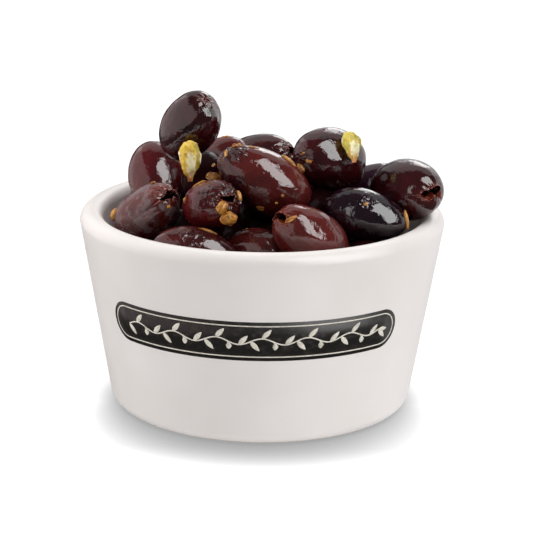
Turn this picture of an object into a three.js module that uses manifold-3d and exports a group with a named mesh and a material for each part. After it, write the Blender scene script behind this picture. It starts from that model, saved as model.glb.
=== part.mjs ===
// A small flared stoneware dish heaped with pitted dark olives, with spice husks, seeds and two pale
// pods among them. Millimetres, +Z up. The origin is the centre of the foot, on the surface that the
// dish stands on, and -Y is the front.
import * as THREE from "three";
import { mergeVertices } from "three/addons/utils/BufferGeometryUtils.js";
import Module from "manifold-3d";

const wasm = await Module();
wasm.setup();

// ---------------------------------------------------------------- driving dimensions

const DISH = {
  rimRadius: 50, // widest point, just under the rim's top
  height: 54.5,
  footRadius: 41.2, // where the outer wall's slope would meet the ground
  rimRound: 3.2, // the rim is a half round, so the wall is twice this thick
  footRound: 3.9,
  floorTop: 7,
  floorRound: 8, // inner corner between wall and floor
  ringRadius: 33, // inner edge of the foot ring
  recess: 1.2, // depth of the recess inside the foot ring
  sides: 64,
};

const HEAP = {
  gap: 0.4, // between the heap and the dish
  coreWall: 42, // height of the core's surface at the wall
  coreCrown: 50, // and in the middle
  coreSides: 36,
  contact: 0.6, // how far two olives press into each other
  endShare: 0.8, // radius of the ball at an olive's end, as a share of its middle's
  steps: 300,
  rounds: 3, // of pushing apart in each step
  sink: 0.05, // how far a loose olive sinks in each step
  ease: 0.7, // the share of each push that is followed
  bed: 26, // height of the bed that the loose olives rest on
  showing: -4, // height of an olive's middle above the core's surface from which it shows
};

const OLIVE = {
  sides: 12,
  rings: 8,
  looseSides: 10, // the loose olives are plainer
  looseRings: 7,
  fullness: 2.06, // 2 is an ellipsoid, and more is fuller towards the ends
  egg: 0.07, // how much narrower the holed half is
  mouth: 1.9, // radius of the hole that the stone came out of
  pitDepth: 4.5,
  tears: [0.25, 0.12], // how far the hole's edge is torn, in three and in five lobes
};

// The olives that are laid by hand: name, centre, heading and pitch of the end that the stone came out
// of, in degrees, length, width, and the radius of that hole, or 0 where it doesn't show.
const LAID = [
  ["peak", [-19.7, -1.2, 77.4], -55, 48, 24.6, 15.5, 0.9],
  ["left_shoulder", [-29.7, 7.3, 60.4], -81, -48, 22, 15.4, 0],
  ["left_front", [-30.9, -11, 54.6], -44, 39, 26, 14.8, 1.6],
  ["under_pod", [-13.4, -21.5, 60.4], -57, 22, 21, 13.2, 1.4],
  ["long_middle", [0.5, -12, 64.8], -174, 31, 27.9, 16.2, 0],
  ["back_middle", [-1, 19.7, 63.2], -25, 19, 23, 14.4, 1.5],
  ["right_crown", [18.1, 0, 68.1], -132, 21, 23.8, 17.3, 0],
  ["on_rim", [39.4, -5.5, 61.1], -58, 10, 25.3, 17.2, 2.1],
  ["purple", [27.5, -15.3, 56.4], -12, -12, 22.9, 14.3, 0],
  ["front_right", [12.6, -29.1, 53.7], -144, 36, 25.4, 15.8, 1.7],
  ["front_left", [-17.7, -30, 49.7], -7, -5, 23, 13, 0],
  ["front_low", [-2.1, -24.5, 48], -48, 19, 20, 13.2, 0],
  ["behind_peak", [-12.8, 11, 63.3], -32, 38, 22, 14.2, 0],
  ["right_back", [30, 11.2, 56.3], -4, 23, 24, 15, 0],
  ["behind_pod", [-15.5, -4.3, 63.4], 84, 23, 19, 12.6, 0],
  ["under_crown", [15, -3, 54.3], 60, 0, 22, 14, 0],
];

// The loose olives start in arcs and settle round the laid ones: height, radius, how many, and the
// first and last angle in degrees, anticlockwise from +X.
const ARCS = [
  [36, 33, 11, 0, 327],
  [36, 18, 6, 20, 320],
  [37, 1, 1, 0, 0],
  [49, 31, 6, -5, 185],
  [49, 13, 4, 0, 270],
  [47, 34, 3, 172, 318],
  [55, 12, 2, 90, 200],
  [60, 27, 3, 50, 150],
];
const LOOSE = { length: [21, 25], width: [13.2, 15.6], wander: 8, swing: 60, tip: 30, seed: 7 };

// Bits of spice stuck to the olives: kind, the olive, heading and pitch from the olive's centre to the
// bit, the turn of its long side away from the olive's own axis, length, width and thickness.
const BITS = [
  ["seed", "left_front", 172, -2, 53, 3.5, 2.4, 2],
  ["flake", "under_pod", 176, 9, 67, 1.8, 1.2, 0.9],
  ["husk", "behind_pod", -73, 16, -65, 4.1, 2.4, 1.8],
  ["flake", "under_pod", 167, 56, 57, 3.8, 0.8, 0.8],
  ["nut", "under_pod", -72, 11, 20, 3.5, 3.1, 2.8],
  ["nut", "under_pod", -61, -6, -101, 4.8, 4.1, 3.5],
  ["seed", "under_pod", -33, 23, -96, 3.1, 1.1, 1.3],
  ["flake", "front_left", 8, 60, 3, 4.9, 1.5, 0.9],
  ["flake", "behind_peak", -35, 71, 26, 3.5, 1.6, 1],
  ["husk", "long_middle", -173, 52, -168, 2.9, 1.5, 1.6],
  ["flake", "long_middle", -157, 70, -176, 3.3, 0.8, 0.8],
  ["seed", "long_middle", 0, 41, 164, 4.8, 1.1, 1.2],
  ["nut", "right_crown", -133, -2, -134, 2.7, 2.1, 1.9],
  ["husk", "long_middle", -100, -47, -139, 2.2, 1.8, 1],
  ["husk", "front_right", -123, 37, -128, 3.5, 1.2, 1],
  ["seed", "purple", -13, -2, -17, 5.3, 1.4, 1.4],
];
const BIT_SIDES = 7;
const BIT_RINGS = 4;
// How high a bit's middle lies over the skin, as a share of its thickness.
const LIFT = { seed: 0.1, nut: 0.3, husk: 0, flake: -0.1 };

// The two pods: the blunt top, the pointed tip, the side that faces out, width and thickness.
const PODS = {
  pod_left: {
    top: [-19.6, -10.4, 75.3],
    tip: [-19.5, -12.4, 64.4],
    facing: [0, -1, 0.2],
    size: [6, 3],
  },
  pod_right: {
    top: [23.3, -5.6, 77.3],
    tip: [24.6, -9.6, 69.6],
    facing: [0.3, -0.8, 0.5],
    size: [5.6, 2.6],
  },
};
const POD_SIDES = 12;

// ---------------------------------------------------------------- small helpers

const radians = THREE.MathUtils.degToRad;

// Numbers from 0 to 1, the same on every run.
function draws(seed) {
  let state = seed;
  return () => {
    state = (state * 1664525 + 1013904223) % 4294967296;
    return state / 4294967296;
  };
}

function heading(azimuth, pitch) {
  const a = radians(azimuth);
  const p = radians(pitch);
  return new THREE.Vector3(Math.cos(a) * Math.cos(p), Math.sin(a) * Math.cos(p), Math.sin(p));
}

// A closed geometry, placed by a matrix, as a solid that can be joined and cut.
function solidOf(geometry, matrix = new THREE.Matrix4()) {
  const bare = new THREE.BufferGeometry();
  bare.setAttribute("position", geometry.getAttribute("position").clone());
  bare.setIndex(geometry.index.clone());
  const merged = mergeVertices(bare.applyMatrix4(matrix), 1e-4);
  return new wasm.Manifold(
    new wasm.Mesh({
      numProp: 3,
      vertProperties: merged.attributes.position.array,
      triVerts: new Uint32Array(merged.index.array),
    }),
  );
}

function geometryOf(solid) {
  const mesh = solid.getMesh();
  const geometry = new THREE.BufferGeometry();
  geometry.setAttribute("position", new THREE.BufferAttribute(mesh.vertProperties, 3));
  geometry.setIndex(new THREE.BufferAttribute(mesh.triVerts, 1));
  geometry.computeVertexNormals();
  return geometry;
}

// A profile of [radius, height] points turned round the Z axis.
function turned(profile, sides) {
  const points = profile.map(([radius, height]) => new THREE.Vector2(radius, height));
  return new THREE.LatheGeometry(points, sides).rotateX(Math.PI / 2);
}

// Points on an arc in a profile's plane, ends included.
function arc(centre, radius, from, to, steps) {
  return Array.from({ length: steps + 1 }, (_, i) => {
    const angle = radians(from + ((to - from) * i) / steps);
    return [centre[0] + radius * Math.cos(angle), centre[1] + radius * Math.sin(angle)];
  });
}

// ---------------------------------------------------------------- the dish

const rimCentre = [DISH.rimRadius - DISH.rimRound, DISH.height - DISH.rimRound];
const slope = (DISH.rimRadius - DISH.footRadius) / rimCentre[1];
const lean = THREE.MathUtils.radToDeg(Math.atan(slope));

function outerRadius(height) {
  return DISH.footRadius + slope * height;
}

function innerRadius(height) {
  return outerRadius(height) - 2 * DISH.rimRound;
}

// The dish's section, from the axis under the foot, up the outside, over the rim and down to the
// middle of the floor. grow thickens its inside, to cut a clearance.
function dishProfile(grow = 0) {
  const footX = outerRadius(DISH.footRound) - DISH.footRound / Math.cos(radians(lean));
  const floor = DISH.floorTop + grow;
  const floorX = innerRadius(floor + DISH.floorRound) - grow - DISH.floorRound;
  return [
    [0, DISH.recess],
    [DISH.ringRadius - DISH.recess, DISH.recess],
    [DISH.ringRadius, 0],
    ...arc([footX, DISH.footRound], DISH.footRound, -90, -lean, 4),
    ...arc(rimCentre, DISH.rimRound + grow, 0, 180, 8),
    ...arc([floorX, floor + DISH.floorRound], DISH.floorRound, 0, -90, 4),
    [0, floor],
  ];
}

function dish() {
  return solidOf(turned(dishProfile(), DISH.sides));
}

// ---------------------------------------------------------------- one olive

// An olive's radius as a share of its widest, from -1 at the whole end to 1 at the holed end.
function girth(t) {
  return Math.sqrt(Math.max(0, 1 - Math.abs(t) ** OLIVE.fullness)) * (1 - OLIVE.egg * t);
}

// Its axis is Y, with the hole at +Y. Only the hole's edge and inside are torn out of round.
function oliveGeometry({ length, width, mouth, fixed }) {
  const sides = fixed ? OLIVE.sides : OLIVE.looseSides;
  const rings = fixed ? OLIVE.rings : OLIVE.looseRings;
  const half = length / 2;
  const radius = width / (1 + Math.cos(Math.PI / sides)); // the flats lie as far in as the corners out
  const torn = mouth * (1 + OLIVE.tears[0] + OLIVE.tears[1]);
  const profile = [];
  for (let i = 0; i <= rings; i += 1) {
    const t = -Math.cos((Math.PI * i) / rings);
    if (mouth && t > 0 && radius * girth(t) < torn) break;
    profile.push([i === 0 || i === rings ? 0 : radius * girth(t), half * t]);
  }
  const body = profile.length;
  if (mouth) {
    const lip = half * (1 - (mouth / radius) ** 2) ** (1 / OLIVE.fullness);
    for (const [share, depth] of [[1, 0], [0.7, 0.4], [0.45, 0.85], [0, 1]]) {
      profile.push([mouth * share, lip - OLIVE.pitDepth * depth]);
    }
  }
  const points = profile.map(([x, y]) => new THREE.Vector2(x, y));
  const geometry = new THREE.LatheGeometry(points, sides);
  const position = geometry.getAttribute("position");
  for (let side = 0; side <= sides; side += 1) {
    const angle = (2 * Math.PI * (side % sides)) / sides;
    const reach = 1 + OLIVE.tears[0] * Math.cos(3 * angle + length) + OLIVE.tears[1] * Math.cos(5 * angle);
    for (let row = body; row < profile.length; row += 1) {
      const vertex = side * profile.length + row;
      position.setX(vertex, position.getX(vertex) * reach);
      position.setZ(vertex, position.getZ(vertex) * reach);
    }
  }
  return geometry;
}

function oliveSolid(olive) {
  const turn = new THREE.Quaternion().setFromUnitVectors(new THREE.Vector3(0, 1, 0), olive.axis);
  const place = new THREE.Matrix4().compose(olive.centre, turn, new THREE.Vector3(1, 1, 1));
  return solidOf(oliveGeometry(olive), place);
}

// ---------------------------------------------------------------- the heap of olives

function laidOlives() {
  return LAID.map(([name, centre, azimuth, pitch, length, width, mouth]) => ({
    name,
    centre: new THREE.Vector3(...centre),
    axis: heading(azimuth, pitch),
    length,
    width,
    mouth,
    fixed: true,
  }));
}

function looseOlives() {
  const draw = draws(LOOSE.seed);
  const between = ([low, high]) => low + (high - low) * draw();
  const olives = [];
  for (const [height, radius, count, first, last] of ARCS) {
    for (let k = 0; k < count; k += 1) {
      const step = count > 1 ? (last - first) / (count - 1) : 0;
      const angle = first + step * k + LOOSE.wander * (draw() - 0.5);
      const a = radians(angle);
      const centre = new THREE.Vector3(radius * Math.cos(a), radius * Math.sin(a), height);
      const across = angle + 90 + LOOSE.swing * (draw() - 0.5);
      const axis = heading(across, LOOSE.tip * (draw() - 0.5));
      const length = between(LOOSE.length);
      const width = between(LOOSE.width);
      const mouth = draw() < 0.5 ? OLIVE.mouth : 0;
      olives.push({ centre, axis, length, width, mouth, fixed: false });
    }
  }
  return olives;
}

// Lets the loose olives sink and pushes them off the laid ones, each other, the dish and the bed.
// An olive is three balls in a row.
function settle(olives) {
  const rods = olives.map((olive) => {
    const middle = olive.width / 2;
    const end = HEAP.endShare * middle;
    const reach = olive.length / 2 - end;
    const ends = [1, -1].map((s) => olive.centre.clone().addScaledVector(olive.axis, s * reach));
    return { olive, reach, ends, radii: [end, middle, end] };
  });
  const free = rods.filter((rod) => !rod.olive.fixed);
  for (let step = 0; step < HEAP.steps; step += 1) {
    for (const rod of free) rod.ends.forEach((end) => (end.z -= HEAP.sink));
    for (let round = 0; round < HEAP.rounds; round += 1) pushApart(rods, free);
  }
  for (const rod of free) {
    rod.olive.centre = rod.ends[0].clone().add(rod.ends[1]).multiplyScalar(0.5);
    rod.olive.axis = rod.ends[0].clone().sub(rod.ends[1]).normalize();
  }
  return olives;
}

function ballsOf(rod) {
  const middle = rod.ends[0].clone().add(rod.ends[1]).multiplyScalar(0.5);
  return [rod.ends[0].clone(), middle, rod.ends[1].clone()];
}

function pushApart(rods, free) {
  const balls = new Map(rods.map((rod) => [rod, ballsOf(rod)]));
  const moves = new Map();
  for (const rod of free) {
    moves.set(rod, balls.get(rod).map((ball, k) => pushOn(rod, ball, rod.radii[k], rods, balls)));
  }
  for (const rod of free) {
    const [first, middle, second] = moves.get(rod); // the middle's push is shared by both ends
    rod.ends[0].addScaledVector(first, HEAP.ease).addScaledVector(middle, HEAP.ease / 2);
    rod.ends[1].addScaledVector(second, HEAP.ease).addScaledVector(middle, HEAP.ease / 2);
    const centre = rod.ends[0].clone().add(rod.ends[1]).multiplyScalar(0.5);
    const axis = rod.ends[0].clone().sub(rod.ends[1]).normalize();
    rod.ends[0].copy(centre).addScaledVector(axis, rod.reach);
    rod.ends[1].copy(centre).addScaledVector(axis, -rod.reach);
  }
}

// The push on one ball from every ball that presses into it, and from the dish and the bed.
function pushOn(rod, ball, radius, rods, balls) {
  const push = new THREE.Vector3();
  let touching = 0;
  for (const other of rods) {
    if (other === rod) continue;
    balls.get(other).forEach((there, k) => {
      const away = ball.clone().sub(there);
      const pressed = radius + other.radii[k] - HEAP.contact - away.length();
      if (pressed <= 0) return;
      touching += 1;
      push.addScaledVector(away.normalize(), pressed * (other.olive.fixed ? 1 : 0.5));
    });
  }
  if (touching > 1) push.multiplyScalar(1 / Math.sqrt(touching));
  const out = Math.hypot(ball.x, ball.y);
  if (ball.z < rimCentre[1]) {
    const past = out + radius + HEAP.gap - innerRadius(ball.z);
    if (past > 0) push.add(new THREE.Vector3(ball.x, ball.y, 0).multiplyScalar(-past / out));
  } else {
    const side = out - rimCentre[0];
    const above = ball.z - rimCentre[1];
    const far = Math.hypot(side, above);
    const past = DISH.rimRound + HEAP.gap + radius - far;
    const across = new THREE.Vector3(ball.x, ball.y, 0).multiplyScalar(side / out);
    if (past > 0) push.add(across.setZ(above).multiplyScalar(past / far));
  }
  push.z += Math.max(0, HEAP.bed + radius - ball.z);
  return push;
}

const coreEdge = innerRadius(HEAP.coreWall) - HEAP.gap;

// The height of the core's surface at a distance from the axis.
function coreHeight(out) {
  const share = Math.min(1, out / coreEdge);
  return HEAP.coreWall + (HEAP.coreCrown - HEAP.coreWall) * Math.cos((Math.PI / 2) * share);
}

// How far an olive's skin is from its centre in a direction.
function skinReach(olive, out) {
  const along = out.dot(olive.axis) / (olive.length / 2);
  const across = Math.sqrt(1 - out.dot(olive.axis) ** 2) / (olive.width / 2);
  let [inside, outside] = [0, olive.length / 2];
  for (let i = 0; i < 30; i += 1) {
    const reach = (inside + outside) / 2;
    if (across * reach < girth(along * reach)) inside = reach;
    else outside = reach;
  }
  return inside;
}

// A bit's centre and axes: long side, wide side and outwards from the olive's skin.
function placeOnSkin(olive, azimuth, pitch, spin, lift) {
  const half = olive.length / 2;
  const radius = olive.width / 2;
  const out = heading(azimuth, pitch);
  const at = out.clone().multiplyScalar(skinReach(olive, out));
  const axial = olive.axis.clone().multiplyScalar(at.dot(olive.axis));
  const normal = at.clone().sub(axial).divideScalar(radius * radius);
  normal.addScaledVector(axial, 1 / (half * half)).normalize();
  const level = olive.axis.clone().addScaledVector(normal, -olive.axis.dot(normal)).normalize();
  const long = level.applyAxisAngle(normal, radians(spin));
  const basis = new THREE.Matrix4().makeBasis(long, normal.clone().cross(long), normal);
  return basis.setPosition(at.add(olive.centre).addScaledVector(normal, lift));
}

function bitSolid([kind, on, azimuth, pitch, spin, length, width, thickness], olives) {
  const olive = olives.find((each) => each.name === on);
  const place = placeOnSkin(olive, azimuth, pitch, spin, LIFT[kind] * thickness);
  const bead = new THREE.SphereGeometry(1, BIT_SIDES, BIT_RINGS);
  bead.rotateZ(Math.PI / 2).scale(length / 2, width / 2, thickness / 2);
  return solidOf(bead, place);
}

// The part of the heap under the olives that show, a low dome that fills the dish.
function coreSolid() {
  const floor = DISH.floorTop + HEAP.gap;
  const floorX = innerRadius(floor + DISH.floorRound) - HEAP.gap - DISH.floorRound;
  const profile = [[0, floor], ...arc([floorX, floor + DISH.floorRound], DISH.floorRound, -90, 0, 4)];
  for (const share of [1, 0.85, 0.7, 0.5, 0.25, 0]) {
    profile.push([coreEdge * share, coreHeight(coreEdge * share)]);
  }
  return solidOf(turned(profile, HEAP.coreSides));
}

function showsIn(olive) {
  return olive.centre.z - coreHeight(Math.hypot(olive.centre.x, olive.centre.y)) > HEAP.showing;
}

function heap() {
  const olives = settle([...laidOlives(), ...looseOlives()]);
  const pieces = [...olives.filter(showsIn).map(oliveSolid), ...BITS.map((bit) => bitSolid(bit, olives))];
  const joined = pieces.reduce((solid, piece) => solid.add(piece), coreSolid());
  return joined.subtract(solidOf(turned(dishProfile(HEAP.gap), DISH.sides)));
}

// ---------------------------------------------------------------- the pods

// A pod's half width and height from its cut tip to its blunt top, as shares of its size.
const POD_OUTLINE = [
  [0, 0],
  [0.2, 0],
  [0.34, 0.12],
  [0.72, 0.32],
  [0.97, 0.52],
  [0.99, 0.68],
  [0.78, 0.86],
  [0.42, 0.97],
  [0, 1],
];

// A flat egg that tapers to a cut tip.
function podSolid({ top, tip, facing, size }) {
  const from = new THREE.Vector3(...tip);
  const along = new THREE.Vector3(...top).sub(from);
  const length = along.length();
  along.normalize();
  const out = new THREE.Vector3(...facing);
  out.addScaledVector(along, -out.dot(along)).normalize();
  const points = POD_OUTLINE.map(([x, y]) => new THREE.Vector2(x, y * length));
  const egg = new THREE.LatheGeometry(points, POD_SIDES).scale(size[0] / 2, 1, size[1] / 2);
  const basis = new THREE.Matrix4().makeBasis(along.clone().cross(out), along, out);
  return solidOf(egg, basis.setPosition(from));
}

// ---------------------------------------------------------------- the part

function named(name, solid, colour, roughness) {
  const material = new THREE.MeshStandardMaterial({ color: colour, roughness, metalness: 0 });
  const mesh = new THREE.Mesh(geometryOf(solid), material);
  mesh.name = name;
  return mesh;
}

const part = new THREE.Group();
part.add(named("dish", dish(), 0xdedad5, 0.35));
part.add(named("olive_heap", heap(), 0x3a1416, 0.2));
for (const [name, pod] of Object.entries(PODS)) part.add(named(name, podSolid(pod), 0xcfc26a, 0.35));

export default part;
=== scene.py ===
"""A small flared stoneware dish heaped with pitted dark olives, with spice and two pale pods.

Lengths are millimetres until a mesh is made, and +Z is up. The dish's foot is centred on the
origin and -Y is the front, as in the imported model.
"""

import logging
import math
from dataclasses import dataclass, field
from enum import Enum
from typing import Any, ClassVar, Iterable, Sequence

import bpy
import numpy as np
from mathutils import Matrix


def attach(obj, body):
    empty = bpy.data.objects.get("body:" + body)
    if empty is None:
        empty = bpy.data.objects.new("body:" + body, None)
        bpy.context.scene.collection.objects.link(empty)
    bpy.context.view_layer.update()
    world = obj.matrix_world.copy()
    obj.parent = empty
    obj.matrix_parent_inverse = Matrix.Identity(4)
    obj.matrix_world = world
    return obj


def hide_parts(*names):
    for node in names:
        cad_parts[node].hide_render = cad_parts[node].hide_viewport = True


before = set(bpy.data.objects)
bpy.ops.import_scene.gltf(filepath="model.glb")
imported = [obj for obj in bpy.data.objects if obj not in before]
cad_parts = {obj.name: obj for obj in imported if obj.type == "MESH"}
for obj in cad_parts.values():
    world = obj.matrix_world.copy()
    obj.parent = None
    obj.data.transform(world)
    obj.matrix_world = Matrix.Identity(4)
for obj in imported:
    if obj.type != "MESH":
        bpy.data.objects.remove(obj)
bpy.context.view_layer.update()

LOG = logging.getLogger("dish_of_olives")
MM = 0.001
BODY = "root"
UP = np.array([0.0, 0.0, 1.0])

Array = np.ndarray


# ---------------------------------------------------------------- colours and nodes

# Blender's names for the kinds of node that are used more than once.
ATTRIBUTE = "ShaderNodeAttribute"
BUMP = "ShaderNodeBump"
CELLS = "ShaderNodeTexVoronoi"
MIX = "ShaderNodeMix"
NOISE = "ShaderNodeTexNoise"
OUTPUT = "ShaderNodeOutputMaterial"
PRINCIPLED = "ShaderNodeBsdfPrincipled"
RANGE = "ShaderNodeMapRange"  # takes a number, the range that it comes in and the one it leaves in
SPLIT = "ShaderNodeSeparateXYZ"
SURFACE = "ShaderNodeTexCoord"

Source = bpy.types.NodeSocket | bpy.types.Node


def linear(code: str) -> tuple[float, float, float, float]:
    """Turns an sRGB colour into the linear one that a shader takes.

    Args:
        code: Six hex digits after a hash, such as "#e4e0d9".

    Returns:
        Red, green, blue and an alpha of one.
    """
    shares = [int(code[k : k + 2], 16) / 255 for k in (1, 3, 5)]
    light = [s / 12.92 if s <= 0.04045 else ((s + 0.055) / 1.055) ** 2.4 for s in shares]
    return (light[0], light[1], light[2], 1.0)


def add_node(
    tree: bpy.types.NodeTree,
    kind: str,
    inputs: dict[str | int, Any] | Sequence[Any] = (),
    **settings: Any,
) -> bpy.types.Node:
    """Adds a node to a tree.

    Args:
        tree: The material's or world's node tree.
        kind: Blender's name for the kind of node.
        inputs: What goes into it, by name or number or in the order of its sockets: a value, an
            output socket, or a node whose first output is meant.
        **settings: The node's own settings.

    Returns:
        The new node.
    """
    node = tree.nodes.new(kind)
    for key, value in settings.items():
        setattr(node, key, value)
    for key, value in inputs.items() if isinstance(inputs, dict) else enumerate(inputs):
        source = value.outputs[0] if isinstance(value, bpy.types.Node) else value
        if isinstance(source, bpy.types.NodeSocket):
            tree.links.new(source, node.inputs[key])
        else:
            node.inputs[key].default_value = source
    return node


def new_material(name: str) -> tuple[bpy.types.Material, bpy.types.NodeTree]:
    """Makes a material without nodes.

    Args:
        name: What the material really is.

    Returns:
        The material and its node tree.
    """
    material = bpy.data.materials.new(name)
    material.use_nodes = True
    material.node_tree.nodes.clear()
    return material, material.node_tree


def layered(
    tree: bpy.types.NodeTree, ground: str, coats: Sequence[tuple[Source, str]]
) -> bpy.types.NodeSocket:
    """Lays coats of colour over a ground.

    Args:
        tree: The material's nodes.
        ground: The ground's sRGB colour.
        coats: How far each coat covers what is under it, from 0 to 1, and its sRGB colour.

    Returns:
        The socket of the colour that shows.
    """
    shown: Any = linear(ground)
    for share, code in coats:
        under_and_over = {0: share, 6: shown, 7: linear(code)}
        shown = add_node(tree, MIX, under_and_over, data_type="RGBA").outputs[2]
    return shown


# ---------------------------------------------------------------- shapes


@dataclass
class Shape:
    """A mesh in millimetres, with numbers painted on its points."""

    points: Array
    faces: list[tuple[int, ...]]
    paint: dict[str, Array] = field(default_factory=dict)

    @staticmethod
    def skin(rows: Array, first: Array, last: Array, paint: dict[str, Array]) -> "Shape":
        """Closes a grid of points round an axis with a point at each end.

        Args:
            rows: Points by row and by column, columns going round.
            first: The point before the first row.
            last: The point after the last row.
            paint: Numbers or vectors by row and by column; the ends take their rows' means.

        Returns:
            The closed shape.
        """
        count, sides = rows.shape[:2]
        points = np.concatenate([rows.reshape(-1, 3), [first, last]])
        row = np.arange(count - 1)[:, None] * sides
        here = np.arange(sides)[None, :]
        there = (here + 1) % sides
        quads = np.stack([row + here, row + there, row + sides + there, row + sides + here], -1)
        faces = [tuple(q) for q in quads.reshape(-1, 4).tolist()]
        top = (count - 1) * sides
        for k in range(sides):
            after = (k + 1) % sides
            faces.append((count * sides, after, k))
            faces.append((top + k, top + after, count * sides + 1))
        painted = {}
        for name, values in paint.items():
            ends = np.stack([values[0].mean(0), values[-1].mean(0)])
            flat = values.reshape(count * sides, *values.shape[2:])
            painted[name] = np.concatenate([flat, ends])
        return Shape(points, faces, painted)

    @staticmethod
    def joined(shapes: Iterable["Shape"]) -> "Shape":
        """Puts several shapes into one.

        Args:
            shapes: Shapes with the same kinds of paint.

        Returns:
            One shape of separate shells.
        """
        shapes = list(shapes)
        points, faces, start = [], [], 0
        for shape in shapes:
            points.append(shape.points)
            faces += [tuple(index + start for index in face) for face in shape.faces]
            start += len(shape.points)
        paint = {name: np.concatenate([s.paint[name] for s in shapes]) for name in shapes[0].paint}
        return Shape(np.concatenate(points), faces, paint)

    def placed(self, centre: Array, axes: Array) -> "Shape":
        """Moves the shape from its own axes to the dish's.

        Args:
            centre: Where its origin goes.
            axes: Its X, Y and Z directions, as the columns of a matrix.

        Returns:
            The moved shape.
        """
        return Shape(self.points @ axes.T + centre, self.faces, self.paint)

    def piece(
        self, name: str, material: bpy.types.Material, nodes: Sequence[str], slot: str
    ) -> bpy.types.Object:
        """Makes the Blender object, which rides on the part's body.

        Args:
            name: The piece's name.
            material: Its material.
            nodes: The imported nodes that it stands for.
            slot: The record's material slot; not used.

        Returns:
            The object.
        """
        mesh = bpy.data.meshes.new(name)
        mesh.from_pydata((self.points * MM).tolist(), [], self.faces)
        for key, values in self.paint.items():
            kind = "FLOAT" if values.ndim == 1 else "FLOAT_VECTOR"
            layer = mesh.attributes.new(key, kind, "POINT")
            target = "value" if values.ndim == 1 else "vector"
            layer.data.foreach_set(target, values.astype(np.float32).ravel())
        mesh.polygons.foreach_set("use_smooth", [True] * len(mesh.polygons))
        mesh.materials.append(material)
        mesh.update()
        made = bpy.data.objects.new(name, mesh)
        bpy.context.scene.collection.objects.link(made)
        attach(made, BODY)
        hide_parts(*nodes)
        LOG.info("%s: %d points, %d faces", name, len(self.points), len(self.faces))
        return made


class Ripples:
    """Soft dents and swellings: a sum of sine waves in random directions."""

    def __init__(self, wavelength: float, seed: int, waves: int = 14) -> None:
        """Draws the waves.

        Args:
            wavelength: The typical distance between two swellings.
            seed: Fixes the draw.
            waves: How many sine waves are added.
        """
        draw = np.random.default_rng(seed)
        ways = draw.normal(size=(waves, 3))
        ways /= np.linalg.norm(ways, axis=1, keepdims=True)
        lengths = wavelength * draw.uniform(0.65, 1.5, size=(waves, 1))
        self.vectors = ways * (2 * math.pi / lengths)
        self.phases = draw.uniform(0, 2 * math.pi, waves)

    def at(self, points: Array) -> Array:
        """The height at each point, mostly between -1 and 1."""
        angles = points @ self.vectors.T + self.phases
        return np.sin(angles).sum(-1) / math.sqrt(len(self.phases))


def heading(azimuth: float, pitch: float) -> Array:
    """The unit vector at an angle round from +X and an angle above level, in degrees."""
    a, p = math.radians(azimuth), math.radians(pitch)
    return np.array([math.cos(a) * math.cos(p), math.sin(a) * math.cos(p), math.sin(p)])


def unit(vector: Array) -> Array:
    """The vector at length one."""
    return vector / np.linalg.norm(vector)


def smooth(value: Array) -> Array:
    """An even step from 0 to 1."""
    held = np.clip(value, 0, 1)
    return held * held * (3 - 2 * held)


def ringed(around: Array, out: Array | float, along: Array | float) -> Array:
    """Places points round the Z axis.

    Args:
        around: Their angles in radians.
        out: Their distances from the axis.
        along: Their heights.

    Returns:
        The points.
    """
    return np.stack(
        np.broadcast_arrays(out * np.cos(around), out * np.sin(around), along), -1
    )


def arc(
    centre: Sequence[float], radius: float, start: float, stop: float, steps: int
) -> list[tuple[float, float]]:
    """Points on an arc in a section's plane, ends included.

    Args:
        centre: The arc's centre.
        radius: Its radius.
        start: The first angle in degrees.
        stop: The last angle in degrees.
        steps: How many chords it has.

    Returns:
        Pairs of distance from the axis and height.
    """
    angles = np.radians(np.linspace(start, stop, steps + 1))
    return [(centre[0] + radius * math.cos(a), centre[1] + radius * math.sin(a)) for a in angles]


def turned(section: Sequence[tuple[float, float]], sides: int) -> Shape:
    """Turns a section round the Z axis.

    Args:
        section: Pairs of distance and height; the first and the last lie on the axis.
        sides: How many columns go round.

    Returns:
        The closed shape, with its faces outwards for a section that runs anticlockwise.
    """
    between = np.array(section[1:-1])
    angles = np.linspace(0, 2 * math.pi, sides, endpoint=False)
    rows = ringed(angles, between[:, :1], between[:, 1:])
    first, last = (np.array([0.0, 0.0, section[k][1]]) for k in (0, -1))
    return Shape.skin(rows, first, last, {})


# ---------------------------------------------------------------- the dish


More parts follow.
